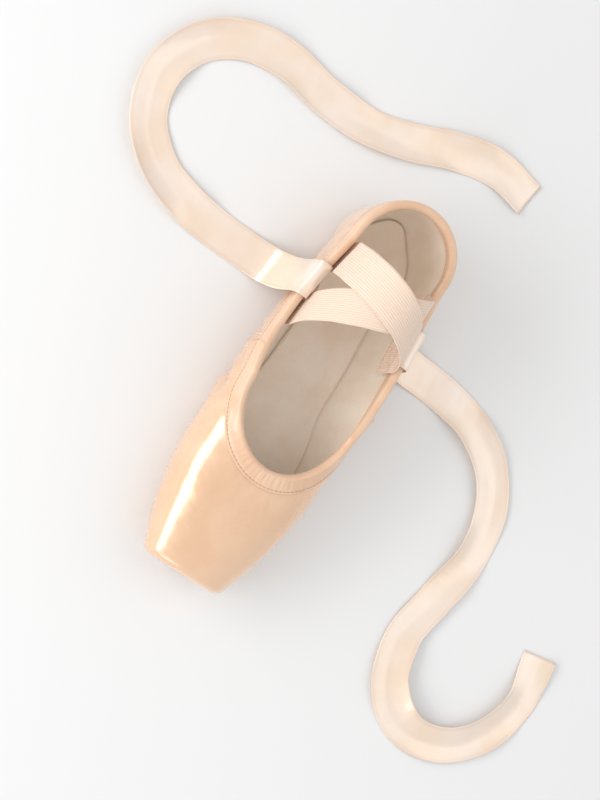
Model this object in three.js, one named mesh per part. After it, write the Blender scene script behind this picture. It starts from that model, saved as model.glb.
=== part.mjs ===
import * as THREE from 'three';

// A pointe shoe, standing on its sole. Millimetres, +Z up. The toe points
// towards -Y, X runs across, and the origin is under the middle of the shoe.

// Driving sizes
const LENGTH = 237;            // platform to the back of the heel
const HEEL_DEPTH = 31;         // length of the rounded back of the heel
const HEEL_TUCK = 5;           // how far the heel runs forward underneath
const PLATFORM_ROUND = 3.6;    // rounding of the platform's rim
const FEATHER_ROUND = 5;       // rounding where the walls turn under
const WALL_BOX = 2.8;          // wall of the stiffened toe box
const WALL_QUARTER = 1.6;      // wall of the soft sides
const GAP = 0.3;               // between pieces that touch
const OUTSOLE_THICK = 2.4;
const INSOLE_THICK = 1.5;
const INSOLE_FRONT = 12;       // distance of the insole's front from the platform
const LASTING_MARGIN = 11;     // how far the upper is turned under the sole's edge
const CLOTH_THICK = 0.6;       // heel tape and toe panel
const MIDDLE = (LENGTH + GAP + CLOTH_THICK) / 2;
const BINDING_WIDTH = 9;       // on each side of the topline
const BINDING_THICK = 0.8;
const BINDING_ROLL = 0.5;      // extra fullness round the drawstring
const BINDING_STEPS = [BINDING_WIDTH, 4.4, 0];

// Sections of the last. at: distance from the platform, half: half width,
// widest: height of the widest line, base: height of the flat underneath,
// flat: half width of that flat, crown: height at which the section would close.
const LAST = [
  { at: 0, half: 24.0, widest: 18.5, base: 8.0, flat: 16.5, crown: 32.0 },
  { at: 12, half: 28.6, widest: 18.2, base: 6.0, flat: 21.0, crown: 36.6 },
  { at: 24, half: 32.6, widest: 18.2, base: 4.5, flat: 25.0, crown: 40.2 },
  { at: 40, half: 36.2, widest: 18.6, base: 3.1, flat: 28.8, crown: 43.8 },
  { at: 54, half: 38.8, widest: 19.0, base: 2.7, flat: 31.0, crown: 46.2 },
  { at: 70, half: 40.0, widest: 19.5, base: 2.7, flat: 31.6, crown: 48.6 },
  { at: 85, half: 40.0, widest: 20.0, base: 2.7, flat: 31.0, crown: 51.4 },
  { at: 100, half: 39.5, widest: 20.6, base: 2.7, flat: 29.0, crown: 57.0 },
  { at: 115, half: 38.8, widest: 21.4, base: 3.4, flat: 25.0, crown: 64.0 },
  { at: 132, half: 38.0, widest: 22.0, base: 4.8, flat: 21.0, crown: 76.0 },
  { at: 150, half: 37.0, widest: 22.6, base: 5.4, flat: 19.8, crown: 88.0 },
  { at: 168, half: 35.2, widest: 23.0, base: 4.3, flat: 21.0, crown: 93.0 },
  { at: 184, half: 32.8, widest: 23.0, base: 2.7, flat: 23.4, crown: 94.0 },
  { at: 206, half: 30.6, widest: 23.0, base: 2.7, flat: 24.4, crown: 94.0 },
  { at: 237, half: 30.6, widest: 23.0, base: 2.7, flat: 24.4, crown: 94.0 },
];
const FULLNESS = 2.4;          // 2 gives an elliptical section, more a squarer one

// The throat is half an ellipse seen from above. Behind it the topline follows heights.
const THROAT = { front: 69.4, middle: 112, half: 33.8 };
const TOPLINE = [
  { at: 112, height: 45.0 },
  { at: 124, height: 43.6 },
  { at: 140, height: 42.8 },
  { at: 160, height: 43.2 },
  { at: 180, height: 45.4 },
  { at: 200, height: 49.6 },
  { at: 220, height: 53.4 },
  { at: 237, height: 54.6 },
];

// Half widths of the outsole. Its front corners and its heel are rounded arcs.
const OUTSOLE_FRONT = 33;
const OUTSOLE_BACK = 225;
const OUTSOLE_CORNER = 5;
const OUTSOLE_HEEL = 22.5;
const OUTSOLE = [
  { at: 33, half: 16.8 },
  { at: 40, half: 19.8 },
  { at: 48, half: 22.6 },
  { at: 58, half: 25.6 },
  { at: 68, half: 28.0 },
  { at: 78, half: 29.3 },
  { at: 88, half: 29.0 },
  { at: 98, half: 27.0 },
  { at: 116, half: 22.2 },
  { at: 134, half: 18.4 },
  { at: 150, half: 17.3 },
  { at: 166, half: 18.2 },
  { at: 182, half: 20.6 },
  { at: 200, half: 22.5 },
  { at: 225, half: 22.5 },
];

// A smooth line through one column of a table. It never overshoots its rows.
function column(rows, name) {
  const at = rows.map((row) => row.at);
  const value = rows.map((row) => row[name]);
  const last = at.length - 1;
  const slope = [];
  for (let i = 0; i < last; i++) slope.push((value[i + 1] - value[i]) / (at[i + 1] - at[i]));
  const lean = value.map((_, i) => {
    if (i === 0) return slope[0];
    if (i === last) return slope[last - 1];
    const before = slope[i - 1];
    const after = slope[i];
    return before * after <= 0 ? 0 : (2 * before * after) / (before + after);
  });
  return (place) => {
    const x = Math.min(Math.max(place, at[0]), at[last]);
    let i = 0;
    while (i < last - 1 && x > at[i + 1]) i++;
    const span = at[i + 1] - at[i];
    const t = (x - at[i]) / span;
    const start = (1 + 2 * t) * (1 - t) ** 2 * value[i] + t * (1 - t) ** 2 * span * lean[i];
    return start + t * t * (3 - 2 * t) * value[i + 1] + t * t * (t - 1) * span * lean[i + 1];
  };
}

const last = {
  half: column(LAST, 'half'),
  widest: column(LAST, 'widest'),
  base: column(LAST, 'base'),
  flat: column(LAST, 'flat'),
  crown: column(LAST, 'crown'),
};
const toplineHeight = column(TOPLINE, 'height');
const outsoleTable = column(OUTSOLE, 'half');
const smooth = THREE.MathUtils.smoothstep;
const wallAt = (along) => THREE.MathUtils.lerp(WALL_BOX, WALL_QUARTER, smooth(along, 45, 110));

// Depth below the widest line at which a section would close, from the width of its flat.
function keel(along) {
  const share = last.flat(along) / last.half(along);
  const depth = last.widest(along) - last.base(along);
  return depth / (1 - share ** FULLNESS) ** (1 / FULLNESS);
}

// How far a point is outside the rounded sections: 0 on them, below 0 inside.
function sectionField(across, along, height) {
  const half = last.half(along);
  const rise = height - last.widest(along);
  const up = rise > 0 ? rise / (last.crown(along) - last.widest(along)) : rise / keel(along);
  const heelStart = LENGTH - HEEL_DEPTH - (up < 0 ? HEEL_TUCK * up * up : 0);
  const back = Math.max(0, along - heelStart) / HEEL_DEPTH;
  const plan = Math.hypot(across / half, back);
  return (plan ** FULLNESS + Math.abs(up) ** FULLNESS) ** (1 / FULLNESS) - 1;
}

function slopeOf(field, across, along, height) {
  const step = 0.05;
  return new THREE.Vector3(
    field(across + step, along, height) - field(across - step, along, height),
    field(across, along + step, height) - field(across, along - step, height),
    field(across, along, height + step) - field(across, along, height - step),
  ).divideScalar(2 * step);
}

// The larger of two distances, with a round edge where they meet.
function roundMax(a, b, radius) {
  const outside = Math.hypot(Math.max(a + radius, 0), Math.max(b + radius, 0));
  return outside + Math.min(Math.max(a, b) + radius, 0) - radius;
}

// Distance from the outside of the last, below 0 inside it.
function lastField(across, along, height) {
  const slope = slopeOf(sectionField, across, along, height).length();
  const walls = sectionField(across, along, height) / Math.max(slope, 1e-4);
  const above = roundMax(walls, last.base(along) - height, FEATHER_ROUND);
  return roundMax(above, -along, PLATFORM_ROUND);
}

// Vertical half planes stand round the shoe like the pages of an open book: a fan
// round the toe, level pages along the sides and a fan round the heel.
const TOE_CENTRE = 88;
const HEEL_CENTRE = LENGTH - HEEL_DEPTH;
const SIDE_SEAM = 127;
const SEAM_STEP = 0.5;
const SEAM_FADE = 16;
const TOE_ANGLES = [0, 4, 8, 11, 12.8, 14.4, 16.4, 19.4, 23.5, 29, 35.5, 43, 51, 60, 69, 77, 84];
const SIDE_PAGES = [
  88, 93, 99, 108, 118, SIDE_SEAM - 0.4, SIDE_SEAM + 0.4, 136, 145, 154, 163, 172, 181, 190, 198,
];
const HEEL_ANGLES = [90, 101, 112, 123, 134, 145, 156, 168, 180];

function page(along, degrees, across = 0) {
  const angle = THREE.MathUtils.degToRad(degrees);
  return { along, across, out: Math.sin(angle), back: -Math.cos(angle) };
}

const PAGES = [
  ...TOE_ANGLES.map((angle) => page(TOE_CENTRE, angle)),
  ...SIDE_PAGES.map((along) => page(along, 90)),
  ...HEEL_ANGLES.map((angle) => page(HEEL_CENTRE, angle)),
];

// A point on a page, reach away from its spine and at a height.
const onPage = (leaf, reach, height) => new THREE.Vector3(
  leaf.across + leaf.out * reach,
  leaf.along + leaf.back * reach,
  height,
);

// Where a rising test first turns true between two values.
function crossing(test, low, high) {
  for (let i = 0; i < 26; i++) {
    const middle = (low + high) / 2;
    if (test(middle)) high = middle;
    else low = middle;
  }
  return (low + high) / 2;
}

function outwardAt(point) {
  return slopeOf(lastField, point.x, point.y, point.z).normalize();
}

// Half width of the outsole at a distance from the platform, less an inset all round.
function outsoleHalf(along, inset) {
  const front = OUTSOLE_FRONT + inset;
  const corner = Math.max(OUTSOLE_CORNER - inset, 3);
  const heel = OUTSOLE_HEEL - inset;
  const heelCentre = OUTSOLE_BACK - OUTSOLE_HEEL;
  if (along < front || along > OUTSOLE_BACK - inset) return -1;
  if (along > heelCentre) return Math.sqrt(Math.max(0, heel ** 2 - (along - heelCentre) ** 2));
  const half = outsoleTable(along) - inset;
  const before = Math.max(0, corner - (along - front));
  return half - corner + Math.sqrt(corner ** 2 - before ** 2);
}

function outsoleReach(leaf, inset) {
  const outside = (reach) => {
    const point = onPage(leaf, reach, 0);
    return Math.abs(point.x) > outsoleHalf(point.y, inset);
  };
  return crossing(outside, 0, 100);
}

// True once a point has passed the topline on its way up a page.
function pastTopline(point) {
  if (point.y >= THROAT.middle) return point.z > toplineHeight(point.y);
  const forward = (THROAT.middle - point.y) / (THROAT.middle - THROAT.front);
  return point.z > last.widest(point.y) && forward ** 2 + (point.x / THROAT.half) ** 2 < 1;
}

// The outside line of one page: from the turned-under edge to the topline.
const SWEEP_STEPS = 260;

function sweepPage(leaf) {
  const end = crossing((reach) => {
    const point = onPage(leaf, reach, 0);
    return lastField(point.x, point.y, last.widest(Math.max(point.y, 0))) > 0;
  }, 1, 120);
  const hub = { reach: end * 0.42, height: last.widest(leaf.along) };
  const surfacePoint = (angle) => {
    const along = (distance) => onPage(
      leaf,
      hub.reach + Math.cos(angle) * distance,
      hub.height + Math.sin(angle) * distance,
    );
    return along(crossing((distance) => {
      const point = along(distance);
      return lastField(point.x, point.y, point.z) > 0;
    }, 1, 130));
  };
  const startReach = outsoleReach(leaf, LASTING_MARGIN);
  const startAngle = Math.atan2(last.base(leaf.along) - hub.height, startReach - hub.reach);
  const step = (Math.PI - startAngle) / SWEEP_STEPS;
  const line = [surfacePoint(startAngle)];
  for (let i = 1; i <= SWEEP_STEPS; i++) {
    const angle = startAngle + i * step;
    const point = surfacePoint(angle);
    if (pastTopline(point)) {
      const edge = crossing((turned) => pastTopline(surfacePoint(turned)), angle - step, angle);
      line.push(surfacePoint(edge));
      break;
    }
    line.push(point);
  }
  return line;
}

// Spreads a set number of points over a line, closer together where it turns.
const TURN_SHARE = 1.3;

function spread(line, count) {
  const measure = [0];
  let length = 0;
  for (let i = 1; i < line.length; i++) length += line[i].distanceTo(line[i - 1]);
  for (let i = 1; i < line.length; i++) {
    const step = line[i].distanceTo(line[i - 1]) / length;
    const before = line[Math.max(i - 2, 0)];
    const into = new THREE.Vector3().subVectors(line[i - 1], before);
    const outOf = new THREE.Vector3().subVectors(line[i], line[i - 1]);
    const turn = i > 1 ? into.angleTo(outOf) / Math.PI : 0;
    measure.push(measure[i - 1] + step + TURN_SHARE * turn);
  }
  const total = measure[measure.length - 1];
  const points = [];
  let at = 1;
  for (let k = 0; k < count; k++) {
    const wanted = (total * k) / (count - 1);
    while (at < line.length - 1 && measure[at] < wanted) at++;
    const share = (wanted - measure[at - 1]) / (measure[at] - measure[at - 1]);
    points.push(line[at - 1].clone().lerp(line[at], THREE.MathUtils.clamp(share, 0, 1)));
  }
  return points;
}

// Points of a line at set distances before its end.
function fromTop(line, distances) {
  return distances.map((wanted) => {
    let left = wanted;
    for (let i = line.length - 1; i > 0; i--) {
      const step = line[i].distanceTo(line[i - 1]);
      if (step > 0 && step >= left) return line[i].clone().lerp(line[i - 1], left / step);
      left -= step;
    }
    return line[0].clone();
  });
}

// The part of a line that ends a distance before its end.
function without(line, distance) {
  const [stop] = fromTop(line, [distance]);
  let left = distance;
  let end = line.length - 1;
  while (end > 0 && left > 0) {
    left -= line[end].distanceTo(line[end - 1]);
    end -= 1;
  }
  return [...line.slice(0, end + 1), stop];
}

// Rows of points round the shoe, one row to a page, mirrored to the other side.
function allRound(makeRow) {
  const half = PAGES.map(makeRow);
  const mirrored = half.slice(1, -1).reverse().map((row) => row.map(
    (point) => new THREE.Vector3(-point.x, point.y, point.z),
  ));
  return [...half, ...mirrored];
}

function meshOf(name, vertices, triangles, material) {
  const geometry = new THREE.BufferGeometry();
  const flat = vertices.flatMap((point) => [point.x, point.y - MIDDLE, point.z]);
  geometry.setAttribute('position', new THREE.Float32BufferAttribute(flat, 3));
  geometry.setIndex(triangles.flat());
  geometry.computeVertexNormals();
  const mesh = new THREE.Mesh(geometry, material);
  mesh.name = name;
  return mesh;
}

// A four-cornered face as two triangles, cut along its shorter diagonal.
function twoOf(vertices, a, b, c, d) {
  const slack = 1e-3;
  return vertices[a].distanceTo(vertices[c]) < vertices[b].distanceTo(vertices[d]) + slack
    ? [[a, b, c], [a, c, d]]
    : [[a, b, d], [b, c, d]];
}

// A closed ring of closed sections, each a loop of the same number of points.
function ringMesh(name, sections, material) {
  const size = sections[0].length;
  const count = sections.length;
  const vertices = sections.flat();
  const triangles = [];
  for (let i = 0; i < count; i++) {
    const next = (i + 1) % count;
    for (let j = 0; j < size; j++) {
      const up = (j + 1) % size;
      triangles.push(...twoOf(vertices, i * size + j, next * size + j, next * size + up, i * size + up));
    }
  }
  return meshOf(name, vertices, triangles, material);
}

// Materials
const cloth = (color, roughness) => new THREE.MeshStandardMaterial({ color, roughness, metalness: 0 });
const satin = cloth(0xf6d0ae, 0.38);
const bindingCloth = cloth(0xf4cfb0, 0.6);
const suede = cloth(0xdcbf95, 0.9);
const board = cloth(0xd9c8ae, 0.9);
const panelCloth = cloth(0xf3d9c6, 0.7);
const elasticWeave = cloth(0xf3d6c0, 0.8);
const ribbonSatin = cloth(0xf6deb9, 0.4);

// Rows of points that share the spine: a closed plate, from its underside over the rim to its top.
function plateMesh(name, rows, material) {
  const size = rows[0].length;
  const count = rows.length;
  const triangles = [];
  const vertices = rows.flat();
  const apart = (a, b) => vertices[a].distanceTo(vertices[b]) > 0.002;
  for (let i = 0; i < count; i++) {
    const next = (i + 1) % count;
    for (let j = 0; j < size - 1; j++) {
      const corners = [i * size + j, next * size + j, next * size + j + 1, i * size + j + 1];
      const pair = twoOf(vertices, ...corners);
      triangles.push(...pair.filter(([a, b, c]) => apart(a, b) && apart(b, c) && apart(a, c)));
    }
  }
  return meshOf(name, vertices, triangles, material);
}

// An open net of points, given a thickness on its upper side: rows[i][j].
function slabMesh(name, lower, upper, material) {
  const rows = lower.length;
  const size = lower[0].length;
  const vertices = [...lower.flat(), ...upper.flat()];
  const top = rows * size;
  const triangles = [];
  const quad = (a, b, c, d) => triangles.push(...twoOf(vertices, a, b, c, d));
  for (let i = 0; i < rows - 1; i++) {
    for (let j = 0; j < size - 1; j++) {
      const a = i * size + j;
      quad(top + a, top + a + size, top + a + size + 1, top + a + 1);
      quad(a, a + 1, a + size + 1, a + size);
    }
  }
  for (let i = 0; i < rows - 1; i++) {
    const a = i * size;
    const b = a + size - 1;
    quad(a, a + size, top + a + size, top + a);
    quad(b + size, b, top + b, top + b + size);
  }
  for (let j = 0; j < size - 1; j++) {
    const b = (rows - 1) * size + j;
    quad(j + 1, j, top + j, top + j + 1);
    quad(b, b + 1, top + b + 1, top + b);
  }
  return meshOf(name, vertices, triangles, material);
}

// Upper
const PROFILE_POINTS = 13;     // below the binding
const outsideRows = PAGES.map(sweepPage);

// The front of each side seam stands a step proud of the quarter behind it.
function seamStep(point) {
  if (point.y > SIDE_SEAM) return 0;
  return SEAM_STEP * smooth(point.y, SIDE_SEAM - SEAM_FADE, SIDE_SEAM) * smooth(point.z, 6, 14);
}

function upperSection(leaf, index) {
  const line = outsideRows[index];
  const below = spread(without(line, BINDING_WIDTH), PROFILE_POINTS);
  const outside = [...below, ...fromTop(line, BINDING_STEPS.slice(1))];
  const inside = outside.map((point) => {
    const wall = wallAt(point.y);
    return point.clone().addScaledVector(outwardAt(point), -wall);
  });
  const stepped = outside.map((point) => point.clone().addScaledVector(outwardAt(point), seamStep(point)));
  return [...stepped, ...inside.reverse()];
}

const upper = ringMesh('upper', allRound(upperSection), satin);

// Height at which the inside of the last begins, above a place on the plan.
function floorHeight(across, along) {
  const top = last.widest(along);
  const depth = crossing((drop) => lastField(across, along, top - drop) > 0, 0, 45);
  return top - depth;
}

// Outsole and insole: plates between the same pages, following the underside of the last.
const PLATE_SHARES = [0, 0.4, 0.7, 0.9, 1];
const RIM_BEVEL = 0.4;

function plateRow(leaf, reach, lowerHeight, upperHeight) {
  const under = PLATE_SHARES.map((share) => {
    const point = onPage(leaf, share === 1 ? reach - RIM_BEVEL : reach * share, 0);
    return point.setZ(lowerHeight(point));
  });
  const rim = onPage(leaf, reach, 0);
  const middle = (lowerHeight(rim) + upperHeight(rim)) / 2;
  const over = under.map((point) => point.clone().setZ(upperHeight(point))).reverse();
  return [...under, rim.setZ(middle), ...over];
}

const outsoleTop = (point) => floorHeight(point.x, point.y) - GAP;
const outsole = plateMesh('outsole', allRound((leaf) => plateRow(
  leaf,
  outsoleReach(leaf, 0),
  (point) => outsoleTop(point) - OUTSOLE_THICK,
  outsoleTop,
)), suede);

// The insole lies on the turned-under margin and stops where the walls begin to climb.
const INSOLE_RISE = 0.9;

function insoleRow(leaf, index) {
  const skin = (point) => wallAt(point.y) + 2 * GAP;
  const bed = spread(without(outsideRows[index], BINDING_WIDTH), 60).map((point) => (
    point.clone().addScaledVector(outwardAt(point), -skin(point))
  ));
  const ridge = (point) => floorHeight(0, point.y) + skin(point);
  const stop = bed.findIndex((point) => point.z > ridge(point) + INSOLE_RISE || point.y < INSOLE_FRONT);
  const margin = spread(bed.slice(0, Math.max(stop, 2)), 2);
  const spine = onPage(leaf, 0, 0);
  const centre = [0, 0.5].map((share) => {
    const point = spine.clone().lerp(margin[0], share);
    return point.setZ(floorHeight(point.x, point.y) + skin(point));
  });
  const under = [...centre, ...margin];
  const over = under.map((point) => point.clone().setZ(point.z + INSOLE_THICK)).reverse();
  return [...under, ...over];
}

const insole = plateMesh('insole', allRound(insoleRow), board);

// Binding: a tape folded over the topline, with the drawstring inside its roll.
function bindingSection(leaf, index) {
  const line = outsideRows[index];
  const points = fromTop(line, BINDING_STEPS);
  const normals = points.map(outwardAt);
  const edge = line[line.length - 1];
  const edgeNormal = outwardAt(edge);
  const rising = new THREE.Vector3().subVectors(edge, fromTop(line, [1.5])[0]).normalize();
  const off = (i, distance) => points[i].clone().addScaledVector(normals[i], distance);
  const over = (distance, up) => edge.clone()
    .addScaledVector(edgeNormal, distance).addScaledVector(rising, up);
  const wall = wallAt(edge.y);
  const step = points.map(seamStep);
  const outer = GAP + BINDING_THICK;
  const roll = outer + BINDING_ROLL;
  const topmost = points.length - 1;
  const legs = points.map((_, i) => (i < topmost ? outer : roll));
  const outerLeg = points.map((_, i) => off(i, step[i] + legs[i]));
  const roof = [
    over(outer - 0.2, 1.1),
    over(-wall / 2, GAP + BINDING_THICK + BINDING_ROLL + 0.3),
    over(-wall - outer + 0.2, 1.1),
  ];
  const innerLeg = points.map((_, i) => off(i, -wallAt(points[i].y) - legs[i])).reverse();
  const innerFace = points.map((_, i) => off(i, -wallAt(points[i].y) - GAP));
  const under = [over(-wall - GAP, GAP), over(step[topmost] + GAP, GAP)];
  const outerFace = points.map((_, i) => off(i, step[i] + GAP)).reverse();
  return [...outerLeg, ...roof, ...innerLeg, ...innerFace, ...under, ...outerFace];
}

const binding = ringMesh('binding', allRound(bindingSection), bindingCloth);

// The part of a line between two places, as a set number of points.
function stretch(line, startTest, endTest, count) {
  const start = line.findIndex(startTest);
  let end = line.findIndex((point, i) => i > start && endTest(point, i));
  if (end < 0) end = line.length;
  return spread(line.slice(start, end), count);
}

// A thin cloth laid on the outside of the upper.
function layOn(name, rows, material) {
  const lift = (distance) => rows.map((row) => row.map(
    (point) => point.clone().addScaledVector(outwardAt(point), distance),
  ));
  return slabMesh(name, lift(GAP), lift(GAP + CLOTH_THICK), material);
}

// True past the edge of the outsole.
const beyondSole = (point) => Math.abs(point.x) > outsoleHalf(point.y, -GAP);

// Heel tape over the back seam, from the outsole up to the binding.
const TAPE_HALF = 5.75;
const TAPE_LINES = [1, 0.5, 0, -0.5, -1];
const heelTapeRows = TAPE_LINES.map((share) => {
  const line = sweepPage(page(HEEL_CENTRE, 180, share * TAPE_HALF));
  const top = fromTop(line, [BINDING_WIDTH + GAP])[0].z;
  return stretch(line, beyondSole, (point) => point.z > top, 11);
});
const heelTape = layOn('heel_tape', heelTapeRows, bindingCloth);

// Toe panel under the box, between the outsole and the rim of the platform.
const PANEL_PAGES = 7;
const PANEL_TOP = 9.8;
const panelLines = PAGES.slice(0, PANEL_PAGES).map((leaf, i) => stretch(
  outsideRows[i],
  beyondSole,
  (point) => point.z > PANEL_TOP,
  7,
));
const panelRows = [
  ...panelLines.slice(1).reverse().map((row) => row.map((p) => new THREE.Vector3(-p.x, p.y, p.z))),
  ...panelLines,
];
const toePanel = layOn('toe_panel', panelRows, panelCloth);

// Where the inside of the quarter stands at a place along and a height, less a distance.
function insideQuarter(along, height, distance) {
  const outer = crossing((across) => lastField(across, along, height) > 0, 5, 60);
  return outer - wallAt(along) - distance;
}

// Elastics: sewn inside the quarters, crossing in an arch over the instep.
const ELASTIC_WIDTH = 20;
const ELASTIC_THICK = 1.0;
const ELASTIC_SEWN = 18;       // how far the sewn ends reach below the topline
const INSTEP_TOP = 84;         // height of the instep's ridge where the elastics cross
const INSTEP_MIDDLE = 171;     // and how far that is from the platform
const INSTEP_RISE = 0.42;      // how steeply the ridge climbs towards the heel
const RIBBON_ROOM = 2.1;       // room for a ribbon between elastic and quarter
const ARCH_STEPS = 16;
const SEWN_STEPS = 2;
const ARCH_LIFT = 0.05;        // share of the arch in which the upper elastic lifts off

// A place on the instep. turn runs from 0 at the right topline to 1 at the left one,
// and on past both, down inside the quarters.
function onInstep(along, turn, lift) {
  const topline = toplineHeight(along);
  const inset = GAP + BINDING_THICK + BINDING_ROLL + RIBBON_ROOM + ELASTIC_THICK;
  const rise = INSTEP_TOP + INSTEP_RISE * (along - INSTEP_MIDDLE) - topline;
  const side = turn < 0.5 ? 1 : -1;
  const below = Math.max(-turn, turn - 1, 0);
  if (below > 0) {
    const across = insideQuarter(along, topline - below * ELASTIC_SEWN, inset) + lift;
    return new THREE.Vector3(side * across, along, topline - below * ELASTIC_SEWN);
  }
  const angle = turn * Math.PI;
  const half = insideQuarter(along, topline, inset);
  const place = new THREE.Vector3(half * Math.cos(angle), along, topline + rise * Math.sin(angle));
  const face = new THREE.Vector3(
    Math.cos(angle) / half,
    -INSTEP_RISE * Math.sin(angle) / rise,
    Math.sin(angle) / rise,
  );
  return place.addScaledVector(face.normalize(), lift);
}

function elastic(name, right, left, lift) {
  const turns = [];
  for (let i = SEWN_STEPS; i > 0; i--) turns.push(-i / SEWN_STEPS);
  for (let i = 0; i <= ARCH_STEPS; i++) turns.push(i / ARCH_STEPS);
  for (let i = 1; i <= SEWN_STEPS; i++) turns.push(1 + i / SEWN_STEPS);
  const slant = Math.atan2(left - right, INSTEP_TOP);
  const reach = ELASTIC_WIDTH / 2 / Math.cos(slant);
  const layer = (height) => turns.map((turn) => {
    const share = THREE.MathUtils.clamp(turn, 0, 1);
    const middle = THREE.MathUtils.lerp(right, left, share);
    const over = lift * smooth(share, 0, ARCH_LIFT) * smooth(1 - share, 0, ARCH_LIFT);
    return [reach, 0, -reach].map((off) => onInstep(middle + off, turn, height + over));
  });
  return slabMesh(name, layer(0), layer(ELASTIC_THICK), elasticWeave);
}

const elasticLeft = elastic('elastic_left', 188, 153, 0);
const elasticRight = elastic('elastic_right', 162, 189, ELASTIC_THICK + 2 * GAP);

// Ribbons: from inside the quarter over the topline and down, then loose on the floor.
const RIBBON_WIDTH = 22;
const RIBBON_THICK = 0.6;
const RIBBON_FROM = 169;       // distance of the sewn end from the platform
const RIBBON_STEPS = 2;        // sections from one point of the route to the next
const QUARTER_CLOSING = 0.123; // how the quarters draw in towards the heel
const TOPLINE_CLIMB = 0.1;     // and how the topline rises
const FLOOR_STARTS = 66;       // distance from the middle at which a ribbon lies flat

// Across and height, from the sewn end to the floor.
const RIBBON_DROP = [
  [32.0, 28], [31.2, 32.5], [30.1, 37.5], [29.8, 43.6], [30.6, 46.9], [33.4, 48.1], [36.6, 47.0],
  [38.0, 43.4], [38.8, 38], [39.2, 30], [40.4, 20], [43.8, 10.5], [50.0, 4.0], [58.0, 1.4],
];
// Across, along and height on the floor.
const RIGHT_ROUTE = [
  [68, 169, 0.6], [84, 168, 0.5], [104, 164, 0.5], [128, 151, 0.5], [145, 128, 0.5], [150, 98, 0.5],
  [145, 68, 0.5], [140, 38, 0.5], [148, 11, 0.5], [170, -5, 0.5], [197, -2, 0.5], [218, 17, 0.5],
  [227, 45, 0.5], [223, 74, 0.5],
];
const LEFT_ROUTE = [
  [68, 169, 0.6], [84, 169, 0.5], [106, 171, 0.5], [130, 179, 0.5], [149, 197, 0.5], [156, 222, 0.5],
  [148, 246, 0.5], [128, 263, 0.5], [101, 269, 0.5], [73, 266, 0.5], [45, 267, 0.5], [18, 275, 0.5],
  [-8, 287, 0.5], [-36, 294, 0.5], [-62, 291, 0.5],
];

function ribbon(name, side, route) {
  const drop = RIBBON_DROP.map(([across, height]) => [across, RIBBON_FROM, height]);
  const places = [...drop, ...route].map(([across, along, height]) => (
    new THREE.Vector3(side * across, along, height)
  ));
  const line = new THREE.CatmullRomCurve3(places, false, 'centripetal');
  const steps = RIBBON_STEPS * (places.length - 1);
  const rows = line.getPoints(steps).map((place, i) => {
    const ahead = line.getTangent(i / steps);
    const lying = smooth(Math.abs(place.x), FLOOR_STARTS - 26, FLOOR_STARTS);
    const closing = QUARTER_CLOSING * (1 - lying);
    const hung = new THREE.Vector3(-closing * side, 1, TOPLINE_CLIMB);
    const flat = new THREE.Vector3(-ahead.y, ahead.x, 0).multiplyScalar(side);
    const across = i > RIBBON_STEPS * drop.length ? flat : hung.lerp(flat, lying);
    across.addScaledVector(ahead, -across.dot(ahead)).normalize();
    const face = new THREE.Vector3().crossVectors(ahead, across).multiplyScalar(side);
    const corner = (out, up) => place.clone()
      .addScaledVector(across, out * side * RIBBON_WIDTH / 2).addScaledVector(face, up * RIBBON_THICK / 2);
    return { lower: [corner(-1, -1), corner(1, -1)], upper: [corner(-1, 1), corner(1, 1)] };
  });
  return slabMesh(name, rows.map((row) => row.lower), rows.map((row) => row.upper), ribbonSatin);
}

const ribbonRight = ribbon('ribbon_right', 1, RIGHT_ROUTE);
const ribbonLeft = ribbon('ribbon_left', -1, LEFT_ROUTE);

const shoe = new THREE.Group();
shoe.add(upper, outsole, insole, binding, heelTape, toePanel);
shoe.add(elasticLeft, elasticRight, ribbonLeft, ribbonRight);
export default shoe;
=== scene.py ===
# %% [markdown]
# A pointe shoe
# This lesson dresses the plain solids of a pointe shoe in satin, suede, elastic and ribbon. The solids
# are loaded first, and each finished piece lies where its solid is. Lengths are in metres, the toe
# points towards -Y, and Z is up.

# %% Load the frame
import math

import bpy
import numpy as np
from mathutils import Matrix, Vector


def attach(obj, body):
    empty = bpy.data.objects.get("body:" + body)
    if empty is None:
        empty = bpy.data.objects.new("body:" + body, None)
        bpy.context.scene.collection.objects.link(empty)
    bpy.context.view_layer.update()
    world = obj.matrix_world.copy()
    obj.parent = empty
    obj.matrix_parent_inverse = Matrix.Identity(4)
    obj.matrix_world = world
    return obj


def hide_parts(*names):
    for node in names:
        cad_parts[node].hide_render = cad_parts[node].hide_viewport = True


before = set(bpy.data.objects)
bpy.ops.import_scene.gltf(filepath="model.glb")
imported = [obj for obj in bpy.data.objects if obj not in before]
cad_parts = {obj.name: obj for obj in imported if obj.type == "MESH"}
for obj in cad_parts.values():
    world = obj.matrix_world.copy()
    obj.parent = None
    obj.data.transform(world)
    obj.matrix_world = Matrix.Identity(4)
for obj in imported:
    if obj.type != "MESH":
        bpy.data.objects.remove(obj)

bpy.ops.object.select_all(action="DESELECT")
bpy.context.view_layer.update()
print("solids:", ", ".join(sorted(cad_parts)))

# %% [markdown]
# Camera
# A camera is a place, a direction and a lens. The shoe is seen from above its left side, turned in the
# picture plane. A long lens keeps its lines nearly parallel, and a small shift brings the ribbons in.

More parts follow.
